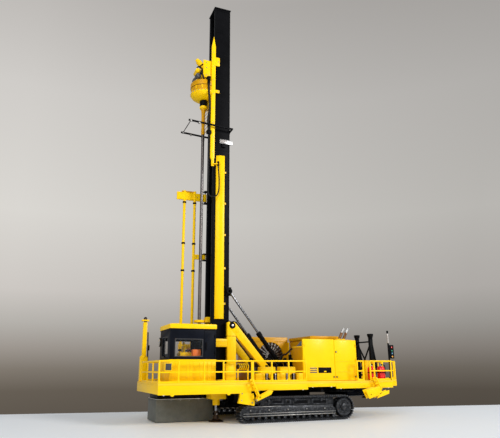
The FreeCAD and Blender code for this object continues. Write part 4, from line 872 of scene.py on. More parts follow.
class RIG_OT_cab(bpy.types.Operator):
    """Finishes the cab: base, walls, door, window seals, roof, mirror, and the seat and console inside"""
    bl_idname = "rig.cab"
    bl_label = "Cab"

    def execute(self, context):
        base, walls, roof = Extent("cab_base"), Extent("cab_walls"), Extent("cab_roof")
        dress("cab_walls", "navy", 0.3)
        paint("cab_windows", "glass")
        foot = Model()
        foot.block(base("---"), base("+++"), 0.5)
        for along_wall in BASE_RIBS:
            x = base.x0 + along_wall
            foot.block(base(".--", x - 0.3, -0.35, 1.2), base(".-+", x + 0.3, 0.2, -1), 0.12)
        for y in (base.y0 + 8, base.y0 + 20, base.y0 + 34):
            foot.block(base("-.-", -0.35, y, 1.2), base("-.+", 0.2, y + 0.6, -1), 0.12)
        foot.parts(base, """
            block --+ -0.4 -0.45 -0.9  +++ 0.4 0.4 -0.1  0.25
            block --- -0.3 -0.35 0  ++- 0.3 0.3 1  0.2 black""")
        foot.finish("cab_foot", "cab_base")

        cap = Model()
        cap.parts(roof, """
            block --- 0 0 0  +++ 0 0 -0.5  1
            block --+ 4 4 -1.2  +++ -4 -4 0  0.45
            block --- 0.5 0.5 -0.5  ++- -0.5 -0.5 0.3  0.1 black""")
        cap.finish("roof_cap", "cab_roof")

        trim = Model()
        trim.parts(walls, """
            surround --- 5.5 -0.3 3.2  --- 34 0.2 19.7  0.75 0.12 seat
            surround -+- 5.5 -0.2 3.2  -+- 34 0.3 19.7  0.75 0.12 seat
            surround -0- -0.3 -13.5 3.2  -0- 0.2 13.5 22.2  0.75 0.12 seat
            block -0- -0.3 -0.5 3.2  -0- 0.2 0.5 22.2  0.12 seat
            surround +0- -0.2 -13.5 3.2  +0- 0.3 13.5 22.2  0.75 0.12 seat
            block +0- -0.2 -0.5 3.2  +0- 0.3 0.5 22.2  0.12 seat
            surround --- 36.5 -0.25 1.2  +-+ -1.6 0.2 -1.4  0.35 0.12 black
            rod --- 38 -1.2 9  --- 38 -1.2 17  0.45 black 12
            rod --- 38 -1.3 9.5  --- 38 0.3 9.5  0.4 black 12 *2 0 0 7
            rod +-- -1.3 -0.5 5  +-- -1.3 -0.5 8  0.55 black 12 *2 0 0 17
            beam -0- -0.8 -3 3  -0- -0.8 7 16  0.5 0.5 0.1 black
            beam -0- -0.6 2 5  -0- -0.6 10 17  0.7 0.3 0.05 black
            rod -0- -1.4 -3 3  -0- 0.3 -3 3  0.9 black 16""")
        mirror = Vector(walls("-+-", -1.3, -5.5, 18.5))
        trim.turned(mirror, [(0, -0.4), (4.2, -0.4), (4.8, 0.2), (4.8, 0.9), (4.3, 1.1), (0, 1.1)], "black", 28, 38,
            axis=(-1, 0, 0))
        trim.turned(mirror, [(0, 1.1), (4, 1.1), (4, 1.25), (0, 1.3)], "silver", 28, 38, axis=(-1, 0, 0))
        trim.pipe([mirror, mirror + Vector((1.5, 0, 2.5)), walls("-++", 0.5, -3, -4)], 0.4, "black")
        trim.finish("cab_fittings")

        inside = Model()
        seat = Extent("cab_seat")
        inside.turned(seat("00-"), [(0, 0), (3, 0), (3, 0.6), (1.6, 1.4), (1.3, 4.2), (2.4, 5), (0, 5)], "black", 20,
            38)
        inside.parts(seat, """
            block --- -5 -4 3  ++- -1 0 7.4  1.2
            block --- 0 0.6 7  -++ 2.4 -0.6 -3.6  0.9
            block --+ 0.2 2.8 -3.2  -++ 2.2 -2.8 0  0.8
            block --- 2 -0.8 8.6  --- 8.6 0.6 9.9  0.45 seat
            block -+- 2 -0.6 8.6  -+- 8.6 0.8 9.9  0.45 seat""")
        inside.finish("driver_seat", "cab_seat", slot="seat_plastic")
        desk = Model()
        desk.parts(walls, """
            block -0- 3 -12 0  -0- 8 12 6  0.8 seat
            block --- 25.5 5 -0.2  --- 34 12 10  0.6 orange""")
        desk.turned(walls("++-", -19, -8), [(0, 0), (5, 0), (5, 0.8), (3.6, 1.2), (1.1, 12.5), (0, 12.5)], "orange",
            24, 38)
        desk.rod(walls("-0-", 10, -2), walls("-0-", 8.5, -2, 9), 0.5, "black", 12)
        desk.ball(walls("-0-", 8.5, -2, 9.4), 1, "black")
        desk.block(walls("+0-", -6, -8, -0.2), walls("+0-", -2.2, 8, 14), 0.5, "black")
        desk.finish("cab_console", slot="seat_plastic")
        return {"FINISHED"}


# ---------------------------------------------------------------- mast
TRAY_TABS = (126, 168, 209, 249, 290)
SEAMS, SEAM_PITCH = 14, 34.8
CHAIN_LINKS, CHAIN_PITCH = 120, 3.95


class RIG_OT_mast(bpy.types.Operator):
    """Finishes the mast: its channel with seams and chords, feed chains, crown, pivots, tray and guard"""
    bl_idname = "rig.mast"
    bl_label = "Mast"

    def execute(self, context):
        mast, crown, tray = Extent("mast_frame"), Extent("mast_crown"), Extent("hose_tray")
        dress("mast_frame", "black", 0.3)
        rear, hoop = mast.x1, Extent("guard_frame")
        guard = Model()
        front, low, high = hoop.x0 - 3.4, hoop.z, hoop.z + 3
        guard.parts(hoop, """
            beam -.0 -3.4 -19 3  +.0 0 -19 0  2 2 0.3 black *2 0 38 0
            rod -.0 -0.7 -17.6 2.8  -.0 -0.7 -20.2 2.8  1.3 bolt 12 0.15 *2 11 0 -1.5
            rod -.0 -0.7 17.6 2.8  -.0 -0.7 20.2 2.8  1.3 bolt 12 0.15 *2 11 0 -1.5""")
        guard.beam((rear + 1, -18, low), (rear + 1, 18, low), 2, 2, 0.3, "black")
        guard.rod((front + 2.7, -19, high - 0.5), (front + 2.7, 19, high - 0.5), 0.5, "black", 12)
        for y in (-9, 9):
            guard.block((rear - 0.2, y - 1.4, low - 3.4), (rear + 1.2, y + 1.4, low + 1.4), 0.2, "black")
        guard.finish("head_guard", "guard_frame")
        trough = Model()
        x, y, stand, foot = mast.x0 + 3.8, mast.y0, 3, tray.z0
        outline = [(0, 0.05), (5, -stand), (10.6, -stand), (10.6, 0.05)]
        trough.plate([(x + px, y + py, foot) for px, py in outline], (0, 0, tray.z1 - foot))
        for z in TRAY_TABS:
            trough.block((x + 9.6, y - 1.4, z), (x + 13.2, y + 0.05, z + 2.4), 0.25)
            trough.bolts([(x + 11.9, y - 1.4, z + 1.2)], NEAR, 0.55, 0.4)
            trough.block((x + 5.6, y - stand - 0.2, z + 0.6), (x + 10.4, y - stand + 0.2, z + 1.6), 0.1)
        trough.finish("trough", "hose_tray")
        skin = Model()
        for side in (mast.y0, mast.y1):
            out = math.copysign(0.22, side)
            for x in (mast.x0 + 0.5, rear - 1.5):
                skin.block((x, min(side, side + out), mast.z0 + 1), (x + 1, max(side, side + out), mast.z1 - 1), 0.08,
                    "black")
            for i in range(SEAMS):
                z = mast.z0 + SEAM_PITCH * (i + 1) - 0.35
                if z < mast.z1 - 2:
                    skin.block((mast.x0 + 1.4, min(side, side + out), z), (rear - 1.4, max(side, side + out), z + 0.7),
                        0.08, "black")
        skin.parts(mast, """
            rod +.- 0 -10.9 5  +.- 0.5 -10.9 5  0.5 black 6 0 *48 0 0 10.2 *2 0 21.8 0""")
        skin.finish("mast_seams", body="mast")

        feed = Model()
        for y in (-5.2, 5.2):
            feed.rod(mast("-.-", 9, y, 6), mast("-.+", 9, y, -8), 0.75, "bolt", 12)
            for i in range(CHAIN_LINKS):
                z = mast.z0 + 8 + CHAIN_PITCH * i
                feed.slab(Matrix.Translation((mast.x0 + 13, y, z)), (1.5, 1.1 if i % 2 else 2.1, 3.1), "track", 0)
            for z in (mast.z0 + 7, mast.z1 - 9):
                feed.turned((mast.x0 + 11, y - 1.4, z), [(0, 0), (4.2, 0), (4.6, 0.5), (3.7, 1.4), (4.6, 2.3),
                    (4.2, 2.8), (0, 2.8)], "silver", 24, 38, axis=Y)
        feed.parts(mast, """
            rod --- 11 1 7  -+- 11 -1 7  1.4 bolt 16
            rod --+ 11 1 -9  -++ 11 -1 -9  1.4 bolt 16
            block +-- -3.2 1.5 60  ++- -1.5 -1.5 62.4  0.2 black *7 0 0 62""")
        feed.finish("feed_chains", body="mast", slot="black_paint")

        cap = Model()
        cap.parts(crown, """
            block --- 0 0 0  ++- 0 0 1.3  0.35 black
            block --- 2 2 1  +++ -2 -2 -0.15  0.3 black""")
        corners = [(x, y, crown.z0 + 1.2) for x in (crown.x0 + 1.1, crown.x, crown.x1 - 1.1)
                   for y in (crown.y0 + 1.1, crown.y1 - 1.1)]
        cap.bolts(corners, Z, 0.5, 0.45)
        cap.finish("crown_plate", "mast_crown")

        dress("mast_pivots", "black", 0.25)
        guide = Model()
        guide.block((mast.x0 - 4.5, -6, 106), (mast.x0 + 8, 6, 109), 0.5)
        guide.turned((Extent("drill_pipe").x, 0, 105.6), [(3.3, 0), (6, 0), (6.4, 0.4), (6.4, 2.6), (6, 3), (3.3, 3),
            (3.3, 0)], "yellow", 28, 38)
        guide.parts(mast, """
            block -.. -6 -2.2 106.2  -.. -3 2.2 108.6
            block -.. -3.4 -5 108.8  -.. 7.6 5 112.2  0.5""")
        guide.finish("pipe_guide", body="mast")

        lamp = Extent("lamp_bracket")
        light = Model()
        light.parts(lamp, """
            block --- 0 0 0  +++ 0 0 0  0.3 silver
            block --- 1.2 -0.35 1  --+ 9 0.2 -1  0.25 white
            surround --- 1.2 -0.3 1  --+ 9 0.2 -1  0.5 0.12 bolt
            block --- 3 0.1 -4.6  -+- 8 -0.1 0.2  0.3 black""")
        light.finish("work_lamp", "lamp_bracket", slot="grey_paint")
        return {"FINISHED"}


# ---------------------------------------------------------------- rotary head and pipe
class RIG_OT_head(bpy.types.Operator):
    """Finishes the rotary head: gearcase, manifold, motors, carriage, swivel and drill pipe"""
    bl_idname = "rig.head"
    bl_label = "Rotary head"

    def execute(self, context):
        case, pipe = Extent("gearcase"), Extent("drill_pipe")
        x, z = pipe.x, case.z0 + 1.8
        back = (case("+.."), X)
        drum = Model()
        drum.turned((x, 0, z), [(0, 2.2), (7.5, 2.2), (8.6, 2.8), (12.4, 4.4), (15.4, 6.6), (16.9, 8.8), (17.4, 9.8),
            (17.4, 11), (0, 11)], "yellow", 48, 40, cut=back)
        # The drum's upper bands, in the darker yellow, are painted shade.
        drum.turned((x, 0, z), [(0, 10.9), (16.9, 10.9), (16.9, 18.6), (0, 18.6)], "amber", 48, cut=back)
        drum.turned((x, 0, z), [(16.8, 18), (17.2, 18), (17.2, 18.6), (16.8, 18.6)], "brown", 48, cut=back)
        drum.turned((x, 0, z), [(0, 18.5), (17.5, 18.5), (17.6, 18.8), (17.6, 24.6), (17, 25.4), (0, 25.5)], "amber",
            48, cut=back)
        angles = [math.radians(100 + 160 * i / 11) for i in range(12)]
        drum.bolts([(x + 17.3 * math.cos(a), 17.3 * math.sin(a), z + 9.8) for a in angles], Z, 0.75, 0.8)
        for a in angles[::2]:
            out = Vector((math.cos(a), math.sin(a), 0))
            drum.beam(Vector((x, 0, z + 13)) + out * 16.6, Vector((x, 0, z + 18.7)) + out * 16.6, 1.1, 1.1, 0.2)
        drum.finish("gearcase_drum", "gearcase")

        top = z + 25.4
        motors = Model()
        motors.block((x - 13, -8, top), (case.x1, 8, top + 2.2), 0.4)
        motors.block((x - 11, -6.4, top + 1.8), (case.x1, 6.4, top + 5), 0.7)
        motors.block((x - 4.5, -5, top + 4), (case.x1, 5, top + 24), 0.8)
        motors.block((x - 5, -9, top + 14), (case.x1 - 0.5, 9, top + 21.5), 0.7, "black")
        for y in (-7, -3.5, 3.5, 7):
            motors.rod((x - 5.6, y, top + 17.8), (x - 4.6, y, top + 17.8), 1.1, "bolt", 12, 0.15)
        motors.turned((x - 10.4, -10, top + 8.2), [(0, 0), (2.6, 0), (2.6, 1.2), (3.6, 1.2), (3.8, 1.6), (3.8, 5.6),
            (3.2, 5.8), (3.2, 14.2), (3.8, 14.4), (3.8, 18.4), (3.6, 18.8), (2.6, 18.8), (2.6, 20), (0, 20)], "grey",
            axis=Y)
        motors.turned((x - 10, -7, top + 18), [(0, 0), (2, 0), (2.2, 0.6), (3, 0.8), (3.2, 1.2), (3.2, 12.8),
            (3, 13.2), (2.2, 13.4), (2, 14), (0, 14)], axis=Y)
        motors.block((x - 12, -3, top + 4), (x - 8, 3, top + 16.5), 0.7)
        foot, tip = Vector((x + 0.5, 0, top + 24.5)), Vector((x - 11, 0, top + 37.5))
        motors.turned(foot, [(0, 0), (3.8, 0), (3.8, 5.4), (3.3, 5.6), (3.3, 7), (3.8, 7.2), (3.8, 13.4), (3.4, 14),
            (2.6, 14.2), (2.6, 16.4), (2.2, 17.2), (0, 17.3)], steps=32, axis=tip - foot)
        motors.turned(foot, [(3.2, 5.5), (3.95, 5.6), (3.95, 7), (3.2, 7.1), (3.2, 5.5)], "black", 32, axis=tip - foot)
        motors.ball((x - 0.5, -7.6, top + 6.5), 3.2, "yellow")
        motors.rod((x - 0.5, -7.6, top + 9.2), (x - 0.5, -7.6, top + 10.6), 1.3, "bolt", 16, 0.2)
        port = Vector(HOSE_ROUTE[0]) / MM
        motors.block((port.x - 2.2, port.y + 1, top), (port.x + 2.2, -6.6, top + 4.6), 0.8, "black")
        motors.turned((port.x, port.y, port.z), [(0, 0), (1.8, 0), (2, 0.3), (2, 2.6), (1.6, 2.8), (1.6, 4.4),
            (2.2, 4.6), (2.2, 8), (2.6, 8.4), (2.6, 10), (1.6, 10.8), (0, 10.8)], "black", 24)
        for route, radius in (
                (((-6, -9.6, 15.5), (-7.5, -12, 14.5), (-7, -13.6, 10), (-5, -14, 5), (-4, -12, 1.5),
                  (-4, -9, 1)), 1.1),
                (((-6, 9, 16), (-9.5, 11, 14), (-9, 11.5, 7), (-4, 8, 3.5)), 1.1),
                (((-4, -3, 23), (-8.5, -3.4, 26), (-11, -3.2, 22.5)), 0.9)):
            motors.pipe([Vector((x, 0, top)) + Vector(point) for point in route], radius)
        corners = [(x - 12, y, top + 2.1) for y in (-7, -2.4, 2.4, 7)] + [(x - 7.5, y, top + 2.1) for y in (-7.2, 7.2)]
        motors.bolts(corners, Z, 0.7, 0.6)
        motors.finish("head_drive", "head_motors")

        slide = Model()
        back, near = case.x1, -13.1
        bar_front, bar_rear = back + 0.2, back + 5.6
        slide.block((back, near, 386), (back + 4, -near, 447), 0.4)
        for side in (-1, 1):
            y0, y1 = sorted((side * 13.1, side * 11.1))
            slide.block((back - 10.6, y0, top + 5.6), (back + 1, y1, 447), 0.4)
            for height in (425, 436, 443):
                slide.bolts([(back - 6.5, side * 13, height)], (0, side, 0), 0.7, 0.5)
        middle = (bar_front + bar_rear) / 2
        outline = [(middle, 302.5), (bar_rear, 308.5), (bar_rear, 468.5), (middle, 484.5), (bar_front, 468.5),
            (bar_front, 308.5)]
        slide.side_plate(outline, near, -2.2)
        for height in range(8):
            slide.bolts([(middle, near - 2.1, 316 + 20.5 * height)], NEAR, 0.6, 0.45)
        for low, tall in ((441, 12.5), (401, 4)):
            for side in (-1, 1):
                y0, y1 = sorted((side * 13.1, side * 14.5))
                slide.block((back + 4.6, y0, low), (bar_rear + 6, y1, low + tall))
                slide.bolts([(bar_rear + 4, side * 14.4, low + tall / 2)], (0, side, 0), 0.7, 0.5)
        slide.parts(case, """
            block +.. -0.3 -9 352  +.. 0.2 9 353  0.12 *7 0 0 5""")
        slide.block((x + 0.4, -16.9, 340), (x + 6.5, -12.9, 345), 0.5, "black")
        end = Vector(LOOP_ROUTE[-1]) / MM
        slide.turned(end, [(0, 0), (1.2, 0), (1.4, 0.2), (1.4, 1.8), (1.1, 2), (1.1, 4), (1.4, 4.2), (1.4, 6), (0, 6)],
            "black", 20)
        slide.block((bar_front + 1.5, near - 1.9, end.z + 0.5), (bar_rear - 0.5, near - 0.4, 314), 0.2)
        slide.beam((bar_rear - 1.5, near - 1.2, end.z + 3), (end.x, end.y, end.z + 3), 1, 3.6, 0.2)
        slide.finish("head_carriage", "carriage")

        neck = Extent("swivel")
        joint = Model()
        # The neck's long lower part, in the darker yellow, is painted shade.
        joint.turned(neck("..-", x), [(0, 0), (2, 0), (2.4, 0.5), (2.4, 8), (2.15, 8.4), (2.15, 14), (2.4, 14.4),
            (2.4, 28.5), (2.6, 31), (2.8, 34), (3.2, 36), (0, 36)], "amber")
        joint.turned((x, 0, neck.z0 + 35.6), [(0, 0), (2.8, 0), (4.6, 1.4), (5, 2.4), (5, 4.4), (4.6, 4.8), (0, 4.8)])
        joint.turned((x, 0, neck.z0 + 40.2), [(0, 0), (4.6, 0), (4.9, 0.4), (4.9, 8.8), (0, 8.8)], "black")
        joint.finish("saver_sub", "swivel")
        string = Model()
        profile = [(0, 0), (1.9, 0), (2.6, 1), (2.6, 4.6), (2.3, 5.2), (2.3, 6.4), (1.9, 7)]
        top = pipe.z1 - pipe.z0
        profile += [(1.9, top - 9), (2.15, top - 8.6), (2.15, top - 3.4), (1.9, top - 3), (1.9, top), (0, top)]
        string.turned(pipe("..-", x), profile, "pipe")
        for tooth in around((x, 0, pipe.z0 + 1.1), 1.9, 6):
            string.ball(tooth, 0.55, "bolt")
        string.finish("drill_string", "drill_pipe")
        return {"FINISHED"}


class RIG_OT_rack(bpy.types.Operator):
    """Makes the pipe rack: two round posts, three arms, hinge collars and clamps"""
    bl_idname = "rig.rack"
    bl_label = "Pipe rack"

    def execute(self, context):
        node, x = Extent("pipe_rack"), Extent("drill_pipe").x
        hinge = Extent("mast_frame").x0 - 0.8
        y = node.y
        rack = Model()
        for post in (x - 17.5, x - 4.2):
            rack.rod((post, y, node.z0), (post, y, node.z1), 1.7, "yellow", 20, 0.3)
            for z in (node.z0 + 2, node.z0 + 96, node.z0 + 130, node.z1 - 17):
                rack.turned((post, y, z), [(1.5, 0), (2.1, 0), (2.3, 0.3), (2.3, 1.9), (2.1, 2.2), (1.5, 2.2),
                    (1.5, 0)], "black", 20, 38)
        for reach, low, tall in ((20, node.z0 + 4, 6), (4.2, node.z0 + 112, 6), (27.5, node.z1 - 12.5, 9.8)):
            rack.block((x - reach, y - 1.4, low), (hinge, y + 1.4, low + tall), 0.35)
            rack.turned((hinge, y, low), sleeve(0.9, 1.8, tall), steps=24)
            rack.bolts([(x - 1, y - 1.3, low + tall / 2), (x + 5, y - 1.3, low + tall / 2)], NEAR, 0.7, 0.5)
        rack.surround((x - 26, y - 1.7, node.z1 - 11.6), (x - 6, y - 1.3, node.z1 - 3.8), 0.5, 0.1)
        # The top arm's back plate, in the darker yellow, is painted shade.
        rack.block((x - 21, y + 0.4, node.z1 - 8), (x - 5, y + 1.8, node.z1), 0.4, "amber")
        rack.finish("rack_frame", "pipe_rack")
        return {"FINISHED"}


# ---------------------------------------------------------------- towers and cylinders
SLOPE = math.radians(48.7)
CYLINDER_BASE, CYLINDER_EYE, CYLINDER_SIDE = Vector((12.7, 0, 45.5)), Vector((-61.1, 0, 141.7)), 17.2


class RIG_OT_towers(bpy.types.Operator):
    """Makes the two mast towers with their saddles, and the two mast cylinders"""
    bl_idname = "rig.towers"
    bl_label = "Towers and cylinders"

    def execute(self, context):
        node, mast, deck = Extent("mast_towers"), Extent("mast_frame"), Extent("deck_plate").z1
        px, pz, y0, y1 = mast.x1 + 0.8, 102.2, 17.3, 22.2
        run, up = Vector((math.cos(SLOPE), 0, -math.sin(SLOPE))), Vector((math.sin(SLOPE), 0, math.cos(SLOPE)))
        frames = Model()
        for side in (-1, 1):
            pin, thick = Vector((px, side * y0, pz)), Vector((0, side * (y1 - y0), 0))
            outline = [(-6, deck - pz), (-6, 3.6), (-3.4, 4.2), (-1.2, -0.4), (2.2, 4), (4.6, 2), (4.6, deck - pz)]
            frames.side_plate([(px + x, pz + z) for x, z in outline], side * y0, thick.y * 0.98)
            edges = []
            for offset, foot in ((4.8, 3.5), (-4.8, -3.5)):
                start, end = pin + up * offset, pin + run * 78 + up * foot
                edges.append((start, start + (end - start) * ((start.z - deck) / (start.z - end.z))))
            (a, b), (d, c) = edges
            frames.plate([a, b, c, d], thick, 0.35)
            seam = [a + up * 1.7, b + up * 1.7 - run * 6, b + up * 1.1 - run * 6, a + up * 1.1]
            frames.plate(seam, thick * 0.9, 0.05, "black")
            face = side * y1
            frames.turned((px, face - side * 4.9, pz - 0.4), [(0, 0), (1.3, 0), (1.3, 6.1), (0.9, 6.3), (0, 6.3)],
                "silver", 24, axis=(0, side, 0))
            frames.turned((px, face - side * 0.2, pz - 0.4), [(1.2, 0), (3.6, 0), (3.6, 0.7), (3.1, 1), (1.2, 1),
                (1.2, 0)], "black", axis=(0, side, 0))
            # The black bars along the saddle's notched top are painted shade in the notch under the pin.
            for p, q in (((-6.4, 3.4), (-3.2, 4.6)), ((-3.2, 4.6), (-1, 1.2)), ((-1, 1.2), (2, 4.4)), ((2, 4.4),
                (5, 1.8))):
                frames.beam((px + p[0], side * 19.75, pz + p[1]), (px + q[0], side * 19.75, pz + q[1]), 1, 5.2, 0.2,
                    "black")
            frames.turned((px + 6, face - side * 0.3, pz - 6.4), [(0, 0), (1.6, 0), (1.6, 0.9), (0, 1)], steps=20,
                axis=(0, side, 0))
            y = sorted((face, side * (y0 + 1)))
            frames.block((px - 6.2, y[0], pz - 12.6), (px + 4.8, y[1] + 0.1, pz - 12.2), 0, "black")
            frames.block((px - 8, y[0] - 0.6, deck), (px + 8, y[1] + 0.6, deck + 1.2))
            frames.block((b.x - 16, y[0] - 0.6, deck), (b.x + 2, y[1] + 0.6, deck + 1))
            frames.bolts([(px + 2.6, side * (y1 + 0.3), deck + 1.2), (px - 7.2, side * (y1 + 0.3), deck + 1.2)], Z)
            for lug in (-2.9, 2.9):
                outline = [(node.x1 - 9.5, deck), (node.x1 - 6.6, 49), (node.x1 - 1.6, 49), (node.x1, deck)]
                frames.side_plate(outline, side * CYLINDER_SIDE + lug - 0.6, 1.2, 0.25)
            pin = CYLINDER_BASE + Vector((0, side * CYLINDER_SIDE, 0))
            frames.rod(pin - Vector((0, 4, 0)), pin + Vector((0, 4, 0)), 1.2, "silver", 16, 0.15)
        cab = Extent("cab_walls")
        frames.block((cab.x1 + 0.2, -y1 + 0.4, 77.7), (px - 5.6, -y0 - 0.4, 86.7), 0.4)
        for z in (79, 83.6):
            frames.block((cab.x1 + 0.2, -y1, z), (px - 6.4, -y1 + 0.8, z + 0.7), 0.15)
        frames.finish("tower_frames", "mast_towers")

        push = (CYLINDER_EYE - CYLINDER_BASE).normalized()
        for name, side in (("near", -1), ("far", 1)):
            base, eye = (end + Vector((0, side * CYLINDER_SIDE, 0)) for end in (CYLINDER_BASE, CYLINDER_EYE))
            barrel = Model()
            barrel.turned(base, [(0, 3.6), (2.2, 3.6), (2.6, 4.6), (2.6, 56.6), (3.1, 57), (3.1, 61.4),
                (2.8, 62), (1.5, 62), (1.5, 4.1), (0, 4.1)], "black", axis=push)
            barrel.turned(base - Vector((0, 1.7, 0)), sleeve(1.4, 3.4, 3.4), "black", 24, axis=Y)
            for height in (9, 52):
                barrel.turned(base + push * height, [(2.5, 0), (2.9, 0.2), (2.9, 1.2), (2.5, 1.4)], "black",
                    axis=push)
            barrel.finish("cylinder_" + name, "barrel_" + name, slot="pipe_steel")
            rod = Model()
            rod.turned(eye, [(0, 3), (1.3, 3), (1.3, 61.6), (1, 62), (0, 62)], "chrome", axis=-push)
            rod.turned(eye, [(0, 2.6), (1.8, 2.9), (1.8, 3.5), (1.2, 3.8)], "black", 24, axis=-push)
            rod.turned(eye - Vector((0, 1.7, 0)), sleeve(1.4, 3.4, 3.4), "black", 24, axis=Y)
            rod.finish("piston_" + name, "rod_" + name)
        return {"FINISHED"}


# ---------------------------------------------------------------- tracks and jacks
LOOP_CIRCLES = ((56.8, 13, 13), (-58.3, 8.6, 8.6), (-35, 21, 5))
SHOES, SHOE_WIDTH, TEETH = 110, 16, 22
ROLLERS, ROLLER_PITCH = 14, 7.32


def turns_back(a, b, c):
    """Whether a line from a by b to c bends inward."""
    return (b[0] - a[0]) * (c[1] - a[1]) <= (b[1] - a[1]) * (c[0] - a[0])


def belt(inset, count):
    """Equally spaced places round a track belt, an inset inside its outer line, each with its direction."""
    angles = [math.tau * i / 120 for i in range(120)]
    dots = sorted({(round(x + (r - inset) * math.cos(a), 4), round(z + (r - inset) * math.sin(a), 4))
                   for x, z, r in LOOP_CIRCLES for a in angles})
    hull = []
    for line in (dots, dots[::-1]):
        part = []
        for p in line:
            while len(part) > 1 and turns_back(part[-2], part[-1], p):
                part.pop()
            part.append(p)
        hull += part[:-1]
    points = [Vector((x, 0, z)) for x, z in hull]
    spans = list(zip(points, points[1:] + points[:1]))
    pitch = sum((b - a).length for a, b in spans) / count
    stations, left = [], 0
    for a, b in spans:
        length = (b - a).length
        while left < length:
            stations.append((a.lerp(b, left / length), (b - a).normalized()))
            left += pitch
        left -= length
    return stations[:count], pitch


def add_track(side, far):
    """One track's belt, wheels and frame, on the near side or mirrored to the far side."""
    frame_box, y = Extent("track_frame_" + side), -58.4
    shoes = Model()
    stations, pitch = belt(1.5, SHOES)
    for place, run in stations:
        turn = Matrix((run, Vector(Y), run.cross(Vector(Y)))).transposed().to_4x4()
        out = -turn.col[2].xyz if turn.col[2].xyz.dot(place - Vector((0, 0, 13))) < 0 else turn.col[2].xyz
        at = Matrix.Translation(Vector((place.x, y, place.z)))
        shoes.slab(at @ turn, (pitch * 0.86, SHOE_WIDTH, 0.9), "track", 0)
        # The pale steel strip on each grouser tip is a painted highlight.
        shoes.slab(Matrix.Translation(out * 0.9) @ at @ turn, (pitch * 0.26, SHOE_WIDTH, 1), "grouser_highlight", 0)
        for across in (-3.6, 3.6):
            shoes.slab(Matrix.Translation(-out * 0.95 + Vector((0, across, 0))) @ at @ turn, (pitch * 0.7, 2.2, 1.1),
                "track", 0)
    shoes.finish("belt_" + side, "track_" + side, far=far)

    wheels = Model()
    for cx, cz, radius, teeth in ((*LOOP_CIRCLES[0][:2], 9.4, TEETH), (*LOOP_CIRCLES[1][:2], 5.2, 0)):
        wheels.turned((cx, -52.6, cz), [(0, 0), (radius, 0), (radius, 3), (radius - 1.6, 3.6), (radius - 1.6, 9),
            (radius, 9.6), (radius, 12.6), (radius - 0.5, 13), (radius * 0.72, 13), (radius * 0.66, 12.4),
            (radius * 0.46, 12.4), (radius * 0.42, 13.6), (radius * 0.3, 14.2), (0, 14.4)], "track", 40, axis=NEAR)
        for i in range(teeth):
            angle = math.tau * i / teeth
            spot = Vector((cx + radius * math.cos(angle), y, cz + radius * math.sin(angle)))
            wheels.slab(Matrix.Translation(spot) @ Matrix.Rotation(-angle, 4, "Y"), (1.5, 3.4, 1.2), "track", 0)
        count = 14 if teeth else 8
        wheels.bolts(around((cx, -65, cz), radius * 0.57, count, NEAR), NEAR, 0.6, 0.6, "track")
    for i in range(ROLLERS):
        x = -51.9 + ROLLER_PITCH * i
        wheels.turned((x, -52.4, 5), [(0, 0), (1.9, 0), (1.9, 4.4), (1.5, 4.8), (1.5, 8), (1.9, 8.4), (1.9, 12.8),
            (1.6, 13.2), (0, 13.2)], "track", 20, axis=NEAR)
    for x in (-33, -2, 30):
        wheels.rod((x, -53, 21.3), (x, -63.8, 21.3), 1.7, "track", 20, 0.3)
    wheels.finish("running_wheels_" + side, "track_wheels_" + side, far=far)

    beam = Model()
    near = frame_box.y0 if not far else -frame_box.y1
    beam.parts(WORLD, """
        block ... -50 -64.2 7.6  ... 44 -53 16  0.5 track
        block ... -42 -61.8 15.6  ... 46 -54 23  0.5 track""")
    outline = [(-66.2, 11.6), (-60, 16.6), (-20, 16.4), (41, 14.9), (45.6, 12), (45.6, 6.7), (-64.5, 6.7)]
    beam.side_plate(outline, near + 0.9, 1.9, 0.35, "track")
    # The zinc strips along the frame's lower edges and its top edge are painted highlights on those edges.
    for z, deep in ((9.2, 0.5), (6.7, 0.7)):
        beam.block((-63, near + 0.1, z), (45.2, near + 1, z + deep), 0.1, "bolt")
    beam.block((-59, near + 0.5, 15.9), (-20, near + 1.6, 16.3), 0.1, "bolt")
    for x0, x1, z0, z1 in ((-31, -15.5, 17.4, 23.2), (-14.4, -6.5, 16.8, 23), (-5.4, 15.4, 16.4, 23),
                           (17.5, 38, 16.4, 22.6)):
        beam.block((x0, -62.6, z0), (x1, -55, z1 - 0.4), 0.3, "track")
        beam.surround((x0 + 2.2, -63.2, z0 + 1), (x1 - 2.2, -62.6, z1 - 1.6), 0.9, 0.12, "track")
        beam.block((x0 + 2.6, -62.8, z0 + 1.4), (x1 - 2.6, -62.5, z1 - 2), 0, "black")
    beam.bolts([(x, near + 1, 12.6) for x in (-55, -34, -12, 10, 32)], NEAR, 0.7, 0.5, "bolt")
    for x in (-56, -48, 40):
        beam.rod((x, near + 1.2, 13.6), (x, near + 0.4, 13.6), 1.1, "track", 18, 0.15)
    beam.finish("track_beam_" + side, "track_frame_" + side, far=far)


class RIG_OT_tracks(bpy.types.Operator):
    """Makes both tracks: shoes, wheels and frames, and the car body between them"""
    bl_idname = "rig.tracks"
    bl_label = "Tracks"

    def execute(self, context):
        add_track("near", False)
        add_track("far", True)
        dress("car_body", "black", 0.6)
        under = Model()
        under.parts(WORLD, """
            block ... 33.5 -45 28  ... 83 45 38.2  0.5 black
            rod ... 30 -66 31  ... 30 -46 31  1.8 black 18 0.3 *3 20 0 0""")
        for x0, x1 in ((-46, 33), (86, 96)):
            under.block((x0, -47, 30), (x1, -45.5, 37.8), 0.3, "navy")
        under.block((84.5, -30, 24), (112, -24.6, 30), 0.5, "navy")
        under.finish("under_frame")
        return {"FINISHED"}


